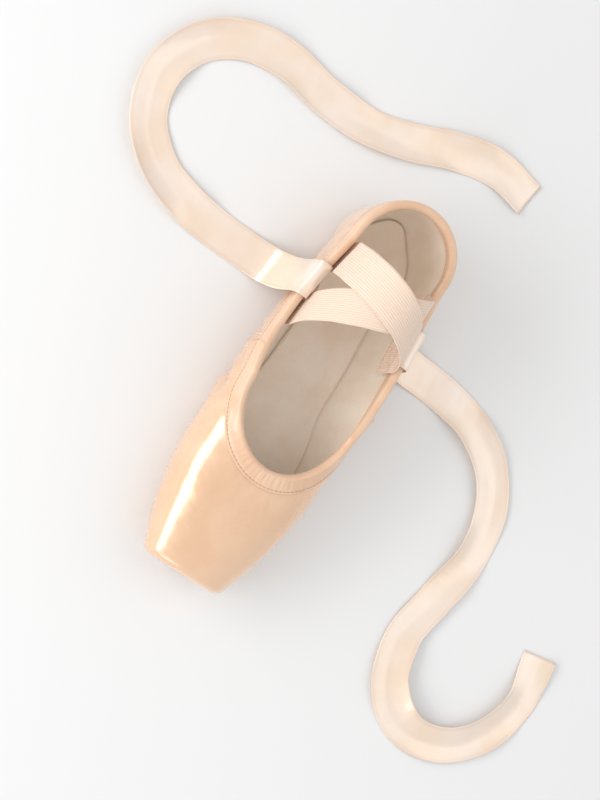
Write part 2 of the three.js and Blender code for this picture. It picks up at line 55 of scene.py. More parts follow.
# %% Camera
AIM = Vector((0.0, -0.030, 0.025))
DISTANCE = 0.8845
SIDE_LEAN, TOE_LEAN, ROLL = (math.radians(angle) for angle in (16.8, 5.72, 34.47))
towards = Vector((-math.sin(SIDE_LEAN), -math.sin(TOE_LEAN), 0.0))
towards.z = math.sqrt(1 - towards.length_squared)
across_view = (Vector((1, 0, 0)) - towards * towards.x).normalized()
up_view = towards.cross(across_view)
right = across_view * math.cos(ROLL) + up_view * math.sin(ROLL)
above = up_view * math.cos(ROLL) - across_view * math.sin(ROLL)
camera = bpy.data.objects.new("camera", bpy.data.cameras.new("camera"))
bpy.context.scene.collection.objects.link(camera)
camera.matrix_world = (
    Matrix.Translation(AIM + towards * DISTANCE) @ Matrix((right, above, towards)).transposed().to_4x4()
)
camera.data.lens = 73.0
camera.data.shift_x = 0.036
camera.data.shift_y = 0.046
camera.data.clip_start = 0.01
bpy.context.scene.camera = camera
print("camera at", [round(x, 3) for x in camera.location])

# %% [markdown]
# Working in millimetres
# The pieces are worked out in millimetres, with "along" as the distance from the tip of the toe. A grid
# of points is the natural form for cloth: its rows and columns also give the flat coordinates that a
# weave follows.

# %% Numbers and lines
MM = 0.001
MIDDLE = 118.95  # from the tip of the toe to the frame's origin
MIRROR = (-1, 1, 1)  # turns a point of the right side into one of the left


def in_frame(points):
    return (np.asarray(points, float) - (0, MIDDLE, 0)) * MM


def smooth(value, low, high):
    """0 below low, 1 above high and a smooth rise between them."""
    t = np.clip((value - low) / (high - low), 0, 1)
    return t * t * (3 - 2 * t)


def bump(distance, width):
    """1 at a distance of 0, falling away on both sides."""
    return np.exp(-(distance / width) ** 2)


def unit(vectors):
    return vectors / np.linalg.norm(vectors, axis=-1, keepdims=True)


def walk(line):
    """How far each point of a line is from the line's start."""
    return np.concatenate([[0], np.cumsum(np.linalg.norm(np.diff(line, axis=0), axis=1))])


def at_places(places, known, rows):
    """Rows at new places, between rows whose places are known."""
    return np.stack([np.interp(places, known, column) for column in rows.T], 1)


print("one millimetre is", MM)

# %% Grids and meshes


def grid_faces(grid, round_rows=False, round_columns=False):
    """The four-cornered faces between the points of a grid, which may close on itself."""
    rows, columns = grid.shape[:2]
    i, j = np.indices((rows if round_rows else rows - 1, columns if round_columns else columns - 1))
    after, beside = (i + 1) % rows * columns, (j + 1) % columns
    corners = [i * columns + j, after + j, after + beside, i * columns + beside]
    return np.stack(corners, -1).reshape(-1, 4).tolist()


def strip_faces(grid):
    """The faces of a strip whose rows are closed rings, with a lid on both ends."""
    rows, loop = grid.shape[:2]
    last = (rows - 1) * loop
    return [*grid_faces(grid, False, True), [*range(loop)][::-1], [*range(last, last + loop)]]


def faces_out(piece):
    """Turns a closed piece's faces outwards, after its doubles are merged."""
    bpy.ops.object.select_all(action="DESELECT")
    bpy.context.view_layer.objects.active = piece
    piece.select_set(True)
    bpy.ops.object.mode_set(mode="EDIT")
    bpy.ops.mesh.select_all(action="SELECT")
    bpy.ops.mesh.remove_doubles(threshold=1e-7)
    bpy.ops.mesh.normals_make_consistent(inside=False)
    bpy.ops.object.mode_set(mode="OBJECT")
    piece.select_set(False)


def mesh_piece(name, points, faces, finishes=(), cloth=None, finish_of=None, closed=True, **marks):
    """An object of points in millimetres. cloth holds the two places of each point on the flat cloth,
    and marks are numbers that each point carries for its material."""
    mesh = bpy.data.meshes.new(name)
    mesh.from_pydata(in_frame(points).reshape(-1, 3).tolist(), [], faces)
    piece = bpy.data.objects.new(name, mesh)
    bpy.context.scene.collection.objects.link(piece)
    mesh.shade_smooth()
    size = points.shape[:-1]
    flat = [np.broadcast_to(side, size).ravel() for side in cloth or (points[..., 0], points[..., 1])]
    corner = np.zeros(len(mesh.loops), int)
    mesh.loops.foreach_get("vertex_index", corner)
    mesh.uv_layers.new(name="cloth").data.foreach_set("uv", np.stack(flat, 1)[corner].ravel() * MM)
    for mark, values in marks.items():
        values = np.broadcast_to(values, size).astype(float).ravel()
        mesh.attributes.new(mark, "FLOAT", "POINT").data.foreach_set("value", values)
    for finish in finishes:
        mesh.materials.append(finish)
    if finish_of is not None:
        mesh.polygons.foreach_set("material_index", finish_of.astype(int))
    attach(piece, "root")
    if closed:
        faces_out(piece)
    print(f"{name}: {len(mesh.polygons)} faces")
    return piece


print("3 by 3 points give", len(grid_faces(np.zeros((3, 3)))), "faces")

# %% [markdown]
# Ribbons
# A satin ribbon is sewn inside each quarter, runs over the topline and lies loose on the floor. It is a
# strip along a smooth line through listed points. A flat ribbon can't turn sideways without one
# edge lifting, so each bend raises its inner edge, and a slow ripple keeps it from looking like tape.

# %% Ribbon routes
RIBBON_WIDTH, RIBBON_FROM = 22.0, 169  # and how far from the toe it is sewn
RIBBON_DROP = [  # across, height: from the sewn end to the floor
    (32.0, 28), (31.2, 32.5), (30.1, 37.5), (29.8, 43.6), (30.6, 46.9), (33.4, 48.1), (36.6, 47.0),
    (38.0, 43.4), (38.8, 38), (39.2, 30), (40.4, 20), (43.8, 10.5), (50.0, 4.0), (58.0, 1.4), (68, 0.6),
]
RIGHT_ROUTE = [  # across, along: on the floor
    (84, 168), (104, 164), (128, 151), (145, 128), (150, 98), (145, 68), (140, 38), (148, 11),
    (170, -5), (197, -2), (218, 17), (227, 45), (223, 74),
]
LEFT_ROUTE = [
    (84, 169), (106, 171), (130, 179), (149, 197), (156, 222), (148, 246), (128, 263), (101, 269),
    (73, 266), (45, 267), (18, 275), (-8, 287), (-36, 294), (-62, 291),
]
FLOOR_HEIGHT, ROUTE_STEPS = 0.5, 10


def eased(t, start, end, lean, end_lean):
    """A smooth step from one value to the next, which leaves and arrives with given leans."""
    return ((1 + 2 * t) * (1 - t) ** 2 * start + t * (1 - t) ** 2 * lean
            + t * t * (3 - 2 * t) * end + t * t * (t - 1) * end_lean)


def through(points, steps):
    """A smooth line through points, with its knots spaced by the root of their distance."""
    p = np.asarray(points, float)
    p = np.vstack([2 * p[0] - p[1], p, 2 * p[-1] - p[-2]])
    legs = np.diff(p, axis=0)
    gap = np.linalg.norm(legs, axis=1)[:, None] ** 0.5
    lean = legs[:-1] / gap[:-1] - (p[2:] - p[:-2]) / (gap[:-1] + gap[1:]) + legs[1:] / gap[1:]
    t = (np.arange(steps) / steps)[:, None]
    parts = zip(p[1:-2], p[2:-1], lean[:-1] * gap[1:-1], lean[1:] * gap[1:-1])
    return np.vstack([*[eased(t, *part) for part in parts], p[-2:-1]])


ribbon_lines = {}
for side, sign, route in (("right", 1, RIGHT_ROUTE), ("left", -1, LEFT_ROUTE)):
    points = [(across, RIBBON_FROM, height) for across, height in RIBBON_DROP]
    points += [(*place, FLOOR_HEIGHT) for place in route]
    ribbon_lines[side] = through(points, ROUTE_STEPS) * (sign, 1, 1)
    print(side, "ribbon:", round(walk(ribbon_lines[side])[-1]), "mm")

# %% Ribbon strips
RIBBON_ACROSS = np.array([-11, -10.6, -9.8, -8, -5.5, -2.8, 0, 2.8, 5.5, 8, 9.8, 10.6, 11.0])
RIBBON_HALF_THICK = 0.19
QUARTER_CLOSING = 0.123  # how the quarters draw in towards the heel
TOPLINE_CLIMB = 0.1  # and how the topline rises
FLAT_FROM, FLAT_AT = 40, 66    # distances from the middle, between which a ribbon turns flat
BEND_LIFT, MOST_LIFT = 190, 4.5
ribbon_sheets = {}


def ribbon_piece(side):
    sign = 1 if side == "right" else -1
    line = ribbon_lines[side]
    ahead, walked = unit(np.gradient(line, axis=0)), walk(line)
    turning = np.gradient(np.unwrap(np.arctan2(ahead[:, 1], ahead[:, 0] * sign)), walked)
    turning = np.convolve(np.pad(turning, 8, mode="edge"), np.ones(17) / 17, mode="valid")
    landed = (len(RIBBON_DROP) - 1) * ROUTE_STEPS
    lying = smooth(np.abs(line[:, :1]), FLAT_FROM, FLAT_AT)
    lying[landed:] = 1
    hung = np.hstack([-QUARTER_CLOSING * (1 - lying) * sign, lying * 0 + 1, lying * 0 + TOPLINE_CLIMB])
    flat = np.stack([-ahead[:, 1], ahead[:, 0], ahead[:, 0] * 0], 1) * sign
    across = hung * (1 - lying) + flat * lying
    across = unit(across - ahead * (across * ahead).sum(1, keepdims=True))
    face = np.cross(ahead, across) * sign
    face[(face[:, 2] < -0.2) & (lying[:, 0] > 0.5)] *= -1
    share = RIBBON_ACROSS / 11
    bend = np.clip(turning * BEND_LIFT, -MOST_LIFT, MOST_LIFT)[:, None] * share
    at = walked[:, None]
    ripple = 0.9 * np.sin(at / 13 + 2.1 * share) * share ** 2 + 0.5 * np.sin(at / 7.3 + 1) * share
    on_floor = smooth(at, walked[landed], walked[landed] + 40)
    lift = on_floor * (np.maximum(bend, 0) + ripple + 1.1 * share ** 2)
    selvedge = bump(np.abs(RIBBON_ACROSS) - 10.2, 0.35)
    edge = RIBBON_HALF_THICK * np.where(np.abs(share) < 1, 1, 0.45) + 0.07 * selvedge
    sheet = line[:, None] + across[:, None] * (RIBBON_ACROSS * sign)[:, None]
    layers = []
    for layer, lowest in ((1, 0.6), (-1, 0.22)):
        points = sheet + face[:, None] * (layer * edge)[:, None]
        points[..., 2] = np.maximum(points[..., 2] + lift, lowest)
        layers.append(points)
    ribbon_sheets[side] = layers[0]
    grid = np.hstack([layers[0], layers[1][:, ::-1]])
    width = np.concatenate([RIBBON_ACROSS, RIBBON_ACROSS[::-1]])
    piece = mesh_piece(f"{side}_ribbon", grid, strip_faces(grid), cloth=(width, at),
                       crease=0.5 * bump(np.abs(width) - 10.1, 0.45))
    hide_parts(f"ribbon_{side}")
    walked[-1] * MM
    return piece


ribbons = [ribbon_piece(side) for side in ("right", "left")]

# %% [markdown]
# The last
# A shoe is built round a last, the solid form of the foot. A table gives its sections, and a smooth line
# through each column turns them into a form. Primitives can't give this shape, so its surface is found:
# a point is outside or inside, and halving an interval finds the place where one turns to the other.

# %% The last's sizes
LENGTH = 237.0  # tip of the toe to the back of the heel
HEEL_DEPTH, HEEL_TUCK = 31.0, 5.0
PLATFORM_ROUND, FEATHER_ROUND = 3.6, 5.0
FULLNESS = 2.4  # 2 gives an elliptical section, more a squarer one
WALL_BOX, WALL_QUARTER, GAP = 2.8, 1.6, 0.3
LAST = np.array([  # along, half, widest, base, flat, crown
    (0, 24, 18.5, 8, 16.5, 32), (12, 28.6, 18.2, 6, 21, 36.6), (24, 32.6, 18.2, 4.5, 25, 40.2),
    (40, 36.2, 18.6, 3.1, 28.8, 43.8), (54, 38.8, 19, 2.7, 31, 46.2), (70, 40, 19.5, 2.7, 31.6, 48.6),
    (85, 40, 20, 2.7, 31, 51.4), (100, 39.5, 20.6, 2.7, 29, 57), (115, 38.8, 21.4, 3.4, 25, 64),
    (132, 38, 22, 4.8, 21, 76), (150, 37, 22.6, 5.4, 19.8, 88), (168, 35.2, 23, 4.3, 21, 93),
    (184, 32.8, 23, 2.7, 23.4, 94), (206, 30.6, 23, 2.7, 24.4, 94), (237, 30.6, 23, 2.7, 24.4, 94),
])
THROAT_FRONT, THROAT_MIDDLE, THROAT_HALF = 69.4, 112.0, 33.8
TOPLINE = np.array([  # along, height
    (112, 45.0), (124, 43.6), (140, 42.8), (160, 43.2), (180, 45.4), (200, 49.6), (220, 53.4), (237, 54.6),
])
OUTSOLE = np.array([  # along, half width
    (33, 16.8), (40, 19.8), (48, 22.6), (58, 25.6), (68, 28.0), (78, 29.3), (88, 29.0), (98, 27.0),
    (116, 22.2), (134, 18.4), (150, 17.3), (166, 18.2), (182, 20.6), (200, 22.5), (225, 22.5),
])
OUTSOLE_CORNER, LEAST_CORNER, OUTSOLE_HEEL, LASTING_MARGIN = 5.0, 3.0, 22.5, 11.0
SIDE_SEAM, SEAM_STEP, SEAM_FADE = 127.0, 0.5, 16.0
print(len(LAST), "sections over", LENGTH, "mm")

# %% Lines through tables


def column(table, k):
    """A smooth line through one column of a table. It never overshoots its rows."""
    at, value = table[:, 0], table[:, k]
    slope = np.diff(value) / np.diff(at)
    lean = np.concatenate([slope[:1], np.zeros(len(at) - 2), slope[-1:]])
    together = slope[:-1] * slope[1:] > 0
    lean[1:-1][together] = (2 * slope[:-1] * slope[1:])[together] / (slope[:-1] + slope[1:])[together]

    def line(place):
        x = np.clip(place, at[0], at[-1])
        i = np.clip(np.searchsorted(at, x) - 1, 0, len(at) - 2)
        span = at[i + 1] - at[i]
        return eased((x - at[i]) / span, value[i], value[i + 1], span * lean[i], span * lean[i + 1])
    return line


last_half, last_widest, last_base, last_flat, last_crown = (column(LAST, k) for k in range(1, 6))
topline_height = column(TOPLINE, 1)
outsole_table = column(OUTSOLE, 1)
print("topline at the waist:", topline_height(150.0).round(1))

# %% The form of the last


def wall_at(along):
    return WALL_BOX + (WALL_QUARTER - WALL_BOX) * smooth(along, 45, 110)


def section_field(p):
    across, along, height = p[..., 0], p[..., 1], p[..., 2]
    half, widest, base = last_half(along), last_widest(along), last_base(along)
    keel = (widest - base) / (1 - (last_flat(along) / half) ** FULLNESS) ** (1 / FULLNESS)
    rise = height - widest
    up = np.where(rise > 0, rise / (last_crown(along) - widest), rise / keel)
    heel_start = LENGTH - HEEL_DEPTH - np.where(up < 0, HEEL_TUCK * up * up, 0)
    plan = np.hypot(across / half, np.maximum(0, along - heel_start) / HEEL_DEPTH)
    return (plan ** FULLNESS + np.abs(up) ** FULLNESS) ** (1 / FULLNESS) - 1


def slope_of(field, p, step=0.05):
    return np.stack([(field(p + move) - field(p - move)) / (2 * step) for move in np.eye(3) * step], -1)


def round_max(a, b, radius):
    """The larger of two distances, with a round edge between."""
    outside = np.hypot(np.maximum(a + radius, 0), np.maximum(b + radius, 0))
    return outside + np.minimum(np.maximum(a, b) + radius, 0) - radius


def last_field(p):
    """Distance from the outside of the last, below 0 inside it."""
    slope = np.linalg.norm(slope_of(section_field, p), axis=-1)
    walls = section_field(p) / np.maximum(slope, 1e-4)
    above = round_max(walls, last_base(p[..., 1]) - p[..., 2], FEATHER_ROUND)
    return round_max(above, -p[..., 1], PLATFORM_ROUND)


def outward(p):
    return unit(slope_of(last_field, p))


def crossing(test, low, high, halvings=24):
    """Where a rising test first turns true between two values, for many at once."""
    for _ in range(halvings):
        middle = (low + high) / 2
        reached = test(middle)
        low, high = np.where(reached, low, middle), np.where(reached, middle, high)
    return (low + high) / 2


probe = np.array([[0, 100, 2.7], [39.5, 100, 20.6]])
print("two points are", last_field(probe).round(2), "from the last")

# %% [markdown]
# Pages
# Upright half planes stand round the shoe like the pages of a book: a fan round the toe, level pages
# along the sides and a fan round the heel. Each cuts the surface in one line, from the edge that is
# turned under the sole up to the topline, and all that is laid on the upper follows these lines.

# %% Pages round the shoe
TOE_CENTRE, HEEL_CENTRE = 88.0, LENGTH - HEEL_DEPTH
TOE_ANGLES = [0, 4, 8, 11, 12.8, 14.4, 16.4, 19.4, 23.5, 29, 35.5, 43, 51, 60, 69, 77, 84]
SIDE_PLACES = [88, 93, 99, 108, 118, 126.6, 127.4, 136, 145, 154, 163, 172, 181, 190, 198]
HEEL_ANGLES = [90, 101, 112, 123, 134, 145, 156, 168, 180]


def page(along, degrees, across=0.0):
    """Where a page's spine stands, and the way that it points."""
    angle = math.radians(degrees)
    return across, along, math.sin(angle), -math.cos(angle)


def between(rows, parts):
    """More rows, evenly spaced between the given ones."""
    rows = np.asarray(rows, float)
    at = np.arange((len(rows) - 1) * parts + 1) / parts
    return at_places(at, np.arange(len(rows)), rows.reshape(len(rows), -1)).reshape(-1, *rows.shape[1:])


def on_page(leaves, reach, height):
    reach = np.asarray(reach, float)
    leaf = leaves.reshape(leaves.shape[0], *[1] * (reach.ndim - 1), 4)
    return np.stack([
        leaf[..., 0] + leaf[..., 2] * reach, leaf[..., 1] + leaf[..., 3] * reach, height + 0 * reach,
    ], -1)


PAGES = between([
    *[page(TOE_CENTRE, angle) for angle in TOE_ANGLES],
    *[page(along, 90) for along in SIDE_PLACES],
    *[page(HEEL_CENTRE, angle) for angle in HEEL_ANGLES],
], 4)
PAGES[:, 2:] = unit(PAGES[:, 2:])
print(len(PAGES), "pages on one side")

# %% Edges of the lines
OUTSOLE_FRONT, OUTSOLE_BACK = OUTSOLE[0, 0], OUTSOLE[-1, 0]


def outsole_half(along, inset):
    """Half width of the outsole, less an inset all round. Below 0 past its ends."""
    front, back = OUTSOLE_FRONT + inset, OUTSOLE_BACK - inset
    corner = max(OUTSOLE_CORNER - inset, LEAST_CORNER)
    heel, heel_centre = OUTSOLE_HEEL - inset, OUTSOLE_BACK - OUTSOLE_HEEL
    before = np.clip(corner - (along - front), 0, corner)
    half = outsole_table(along) - inset - corner + np.sqrt(corner ** 2 - before ** 2)
    round_heel = np.sqrt(np.maximum(0, heel ** 2 - (along - heel_centre) ** 2))
    half = np.where(along > heel_centre, round_heel, half)
    return np.where((along < front) | (along > back), -1, half)


def outsole_reach(leaves, inset):
    def outside(reach):
        p = on_page(leaves, reach, 0)
        return np.abs(p[..., 0]) > outsole_half(p[..., 1], inset)
    return crossing(outside, np.zeros(len(leaves)), np.full(len(leaves), 100.0))


def past_topline(p):
    behind = p[..., 2] > topline_height(p[..., 1])
    forward = (THROAT_MIDDLE - p[..., 1]) / (THROAT_MIDDLE - THROAT_FRONT)
    throat = (p[..., 2] > last_widest(p[..., 1])) & (forward ** 2 + (p[..., 0] / THROAT_HALF) ** 2 < 1)
    return np.where(p[..., 1] >= THROAT_MIDDLE, behind, throat)


print("outsole forward of the toe's centre:", outsole_reach(PAGES[:1], 0).round(1))

# %% The pages' lines
PAGE_STEPS, HUB_SHARE = 260, 0.42


def page_lines(leaves):
    """Each page's line on the last, found by turning round a hub inside and looking outwards."""
    def beyond(reach):
        p = on_page(leaves, reach, 0)
        p[..., 2] = last_widest(np.maximum(p[..., 1], 0))
        return last_field(p) > 0
    end = crossing(beyond, np.ones(len(leaves)), np.full(len(leaves), 120.0))
    hub_reach, hub_height = (end * HUB_SHARE)[:, None], last_widest(leaves[:, 1])[:, None]

    def surface(angle):
        across, up = np.cos(angle), np.sin(angle)

        def at(distance):
            return on_page(leaves, hub_reach + across * distance, hub_height + up * distance)
        low = np.ones(angle.shape)
        return at(crossing(lambda distance: last_field(at(distance)) > 0, low, low * 130))

    start_reach = outsole_reach(leaves, LASTING_MARGIN)
    start = np.arctan2(last_base(leaves[:, 1]) - hub_height[:, 0], start_reach - hub_reach[:, 0])[:, None]
    step = (math.pi - start) / PAGE_STEPS
    line = surface(start + step * np.arange(PAGE_STEPS))
    past = past_topline(line)
    past[:, 0] = False
    first = past.argmax(1)
    high = start + step * first[:, None]
    edge = surface(crossing(lambda turned: past_topline(surface(turned)), high - step, high, 14))
    return [np.vstack([line[k, :first[k]], edge[k]]) for k in range(len(leaves))]


page_line = page_lines(PAGES)
print("lines of", round(walk(page_line[0])[-1]), "to", round(walk(page_line[-1])[-1]), "mm")

# %% Points on a line
TURN_SHARE = 1.3


def spread(line, count):
    """A set number of points over a line, closer together where it turns."""
    legs = np.diff(line, axis=0)
    size = np.linalg.norm(legs, axis=1)
    ways = legs / np.maximum(size, 1e-9)[:, None]
    turn = np.concatenate([[0], np.arccos(np.clip((ways[1:] * ways[:-1]).sum(1), -1, 1))])
    measure = np.concatenate([[0], np.cumsum(size / size.sum() + TURN_SHARE * turn / math.pi)])
    return at_places(np.linspace(0, measure[-1], count), measure, line)


def before_end(line, distances):
    """Points of a line at set distances before its end."""
    walked = walk(line)
    return at_places(walked[-1] - np.asarray(distances, float), walked, line)


def up_to(line, distance):
    """The part of a line that ends a distance before its end."""
    walked = walk(line)
    return np.vstack([line[walked < walked[-1] - distance - 1e-6], before_end(line, [distance])])


def both_sides(right, left=None):
    """Rows of the right side from toe to heel, then those of the left back to the toe."""
    right = np.asarray(right)
    left = right * MIRROR if left is None else left
    return np.concatenate([right, left[1:-1][::-1]])


print("points on a line:", len(spread(page_line[0], 40)))

# %% [markdown]
# Writing materials
# A material is a set of nodes whose sockets are joined. Long trees are hard to read, so an output socket
# is wrapped in a small class: adding or multiplying two of them adds the Math node for it. Every other
# node comes from one method, which sets it up and joins its inputs.

# %% Wires and finishes


def colour(hexadecimal):
    """A screen's colour as the linear values of a shader."""
    values = [int(hexadecimal[i:i + 2], 16) / 255 for i in (0, 2, 4)]
    return *(v / 12.92 if v < 0.04045 else ((v + 0.055) / 1.055) ** 2.4 for v in values), 1


class Wire:
    def __init__(self, finish, socket):
        self.finish, self.socket = finish, socket

    def math(self, operation, *inputs):
        return self.finish.node("ShaderNodeMath", {"operation": operation}, dict(enumerate(inputs)))

    def __add__(self, other): return self.math("ADD", self, other)
    def __sub__(self, other): return self.math("SUBTRACT", self, other)
    def __mul__(self, other): return self.math("MULTIPLY", self, other)
    def __rsub__(self, other): return self.math("SUBTRACT", other, self)
    __radd__, __rmul__ = __add__, __mul__

    def sine(self): return self.math("SINE", self)
    def power(self, exponent): return self.math("POWER", self, exponent)
    def limit(self): return self.finish.node("ShaderNodeClamp", {}, {0: self})
    def over(self, low, high):
        smoothly = {"interpolation_type": "SMOOTHSTEP"}
        return self.finish.node("ShaderNodeMapRange", smoothly, {0: self, 1: low, 2: high})


class Finish:
    """A material with one Principled shader, whose plain numbers are set at once."""

    def __init__(self, name, **constants):
        self.material = bpy.data.materials.new(name)
        self.material.use_nodes = True
        self.tree = self.material.node_tree
        self.shader = self.tree.nodes["Principled BSDF"]
        for socket, value in constants.items():
            self.shader.inputs[socket.replace("_", " ")].default_value = value

    def node(self, kind, settings, inputs, output=0):
        made = self.tree.nodes.new(kind)
        for name, value in settings.items():
            setattr(made, name, value)
        for name, value in inputs.items():
            if isinstance(value, Wire):
                self.tree.links.new(value.socket, made.inputs[name])
            else:
                made.inputs[name].default_value = value
        return Wire(self, made.outputs[output])

    def place(self, scale=(1, 1, 1), turn=(0, 0, 0)):
        """Object coordinates, stretched and turned."""
        here = self.node("ShaderNodeTexCoord", {}, {}, "Object")
        return self.node("ShaderNodeMapping", {}, {"Vector": here, "Scale": scale, "Rotation": turn})

    def cloth(self, scale=(1, 1, 1)):
        """The place on the flat cloth."""
        here = self.node("ShaderNodeUVMap", {"uv_map": "cloth"}, {})
        return self.node("ShaderNodeMapping", {}, {"Vector": here, "Scale": scale})

    def parts(self, place):
        split = self.node("ShaderNodeSeparateXYZ", {}, {0: place}).socket.node
        return [Wire(self, socket) for socket in split.outputs]

    def mark(self, name):
        return self.node("ShaderNodeAttribute", {"attribute_name": name}, {}, "Fac")

    def noise(self, place, scale, detail, roughness=0.5):
        inputs = {"Vector": place, "Scale": scale, "Detail": detail, "Roughness": roughness}
        return self.node("ShaderNodeTexNoise", {}, inputs)

    def mix(self, mask, first, second):
        """One colour where mask is 0, the other where it is 1."""
        first, second = (c if isinstance(c, Wire) else colour(c) for c in (first, second))
        return self.node("ShaderNodeMix", {"data_type": "RGBA"}, {0: mask, 6: first, 7: second}, 2)

    def raise_by(self, height, distance, strength):
        inputs = {"Height": height, "Distance": distance, "Strength": strength}
        self.join("Normal", self.node("ShaderNodeBump", {}, inputs))

    def join(self, socket, wire):
        self.tree.links.new(wire.socket, self.shader.inputs[socket])


print("peach satin is", [round(c, 2) for c in colour("f0c49c")])

# %% [markdown]
# Satin
# Satin has long floating threads on its face, a broad soft gloss and hardly any grain. What gives it
# away is how the gloss breaks where the cloth is pulled. The threads are a very fine bump on the cloth's
# own coordinates, and larger noise makes colour and gloss drift, as on cloth glued over a form.

# %% Two satins
FULL_TURN = 2 * math.pi


def satin_finish(name, base, light, deep, roughness, thread, lumpy):
    satin = Finish(name, Metallic=0.24, Specular_IOR_Level=1.0, Coat_Weight=1.0, Coat_Roughness=0.17,
                   Coat_IOR=1.8, Sheen_Weight=0.1, Sheen_Roughness=0.35)
    drift = satin.noise(satin.place(), 26.0, 3.0)
    fine = satin.noise(satin.cloth((1, 6, 1)), 900.0, 3.0)
    blend = satin.mix(drift.over(0.35, 0.7), base, light)
    # painted shade: the mark mixes in the deep colour, as shade in the troughs of the upper's folds and
    # along its side seam; on the ribbon it is the selvedge's darker tone
    blend = satin.mix(satin.mark("crease").limit() * 0.75, blend, deep)
    satin.join("Base Color", satin.mix(fine.over(0.4, 0.75) * 0.08, blend, light))
    satin.join("Roughness", roughness + (drift - 0.5) * 0.12 + (fine - 0.5) * 0.04)
    u, v, _ = satin.parts(satin.cloth())
    weave = (u * (FULL_TURN / thread)).sine() * 0.25 + (v * (FULL_TURN / thread / 1.6)).sine() * 0.25
    pulled = satin.noise(satin.cloth((1, 3.5, 1)), 60.0, 1.0)
    lumps = satin.noise(satin.cloth((1, 1.6, 1)), 34.0, 1.0)
    satin.raise_by(weave * 0.1 + pulled * 1.7 + lumps * lumpy + fine * 0.03, 0.00022, 0.55)
    return satin.material


# c48a60 is the painted shade of the upper's folds and seam; dcb595 is the ribbon's darker selvedge
upper_satin = satin_finish("peach satin", "ecbd94", "f1c6a0", "c48a60", 0.27, 0.00042, 11.0)
ribbon_satin = satin_finish("ribbon satin", "f8dfc6", "fceadb", "dcb595", 0.34, 0.00036, 1.5)
for piece in ribbons:
    piece.data.materials.append(ribbon_satin)
print("satins:", upper_satin.name, "and", ribbon_satin.name)

# %% Woven cloths


def woven_finish(name, base, light, deep, roughness, thread, grain=0.5, gloss=0.0, spots=0.0):
    """A plain weave. Its threads cross at right angles on the cloth's own coordinates."""
    cloth = Finish(name, Roughness=roughness, Sheen_Weight=0.25, Sheen_Roughness=0.5,
                   Coat_Weight=gloss, Coat_Roughness=0.22, Coat_IOR=1.6)
    drift = cloth.noise(cloth.place(), 60.0, 3.0)
    fleck = cloth.noise(cloth.place(), 1400.0, 2.0)
    stain = cloth.noise(cloth.place(), 380.0, 1.0).over(0.73, 0.78)
    tone = cloth.mix(drift.over(0.3, 0.7), base, light)
    tone = cloth.mix(fleck.over(0.55, 0.8) * grain * 0.5, tone, deep)
    # painted shade: the mark mixes in the deep colour along the binding's lower edge and sewn groove; on the
    # heel tape and toe panel it is a darker tone along their thinned edges
    tone = cloth.mix(cloth.mark("crease").limit() * 0.8, tone, deep)
    cloth.join("Base Color", cloth.mix(stain * spots, tone, "9a7a5e"))
    cloth.join("Roughness", roughness + (fleck - 0.5) * 0.2)
    u, v, _ = cloth.parts(cloth.cloth((FULL_TURN / thread, FULL_TURN / thread, 1)))
    cloth.raise_by((u.sine() * v.sine() * 0.5 + 0.5) * 0.7 + fleck * 0.5, 0.00016, grain)
    return cloth.material


binding_cloth = woven_finish("binding tape", "e6bb98", "ecc6a6", "bd885f", 0.5, 0.0005, 0.4, 0.6)
lining_cloth = woven_finish("lining cloth", "f0e1cf", "f6ebdd", "cdb496", 0.85, 0.0008)
panel_cloth = woven_finish("panel cloth", "efd0bb", "f5dccb", "cfa084", 0.6, 0.0006, 0.5, 0.15)
heel_cloth = woven_finish("heel tape cloth", "eecbb0", "f4d8c2", "cfa27e", 0.5, 0.0005, 0.4, 0.3, 0.55)
thread_finish = woven_finish("thread", "f6dcc2", "fbe8d4", "d9b090", 0.5, 0.0004, 0.3)
# the binding's thread is darker than the tape: partly its own tone, partly painted shade of the small
# shadows that the stitches cast
binding_thread_and_shade = woven_finish("binding thread and painted shade", "b98b63", "c79a72", "94683f", 0.55, 0.0004, 0.3)
print("cloths:", binding_cloth.name, lining_cloth.name, panel_cloth.name, heel_cloth.name)

# %% Elastic web
RIB, PICK = 0.00125, 0.0007    # from one rib or crossing thread to the next, in metres
web = Finish("elastic web", Roughness=0.7, Sheen_Weight=0.3, Sheen_Roughness=0.45)
u, v, _ = web.parts(web.cloth())
rib = (u * (FULL_TURN / RIB)).sine() * 0.5 + 0.5
pick = (v * (FULL_TURN / PICK)).sine() * 0.5 + 0.5
fleck = web.noise(web.place(), 900.0, 2.0)
# painted light and shade: the crests of the ribs and crossing threads are painted lighter, the grooves
# between them darker
tone = web.mix(rib * 0.55 + pick * 0.15, "f0d3bb", "fde9da")
# painted shade: the mark darkens the bands where they bend over the topline, and along their edges
web.join("Base Color", web.mix(web.mark("crease").limit() * 0.6, tone, "c99f80"))
web.join("Roughness", 0.72 - rib * 0.18)
web.raise_by(rib * 0.8 + pick * 0.3 + fleck * 0.25, 0.0003, 0.8)
print("web:", web.material.name)

# %% [markdown]
# Suede
# The outsole is thin leather with its rough side out: a short nap, brushed patches, scratches, dents,
# pale nicks round the worn heel, and a burnished line along its cut edge. The edge comes from a mark
# that each point of the mesh carries: how near it is to the rim.

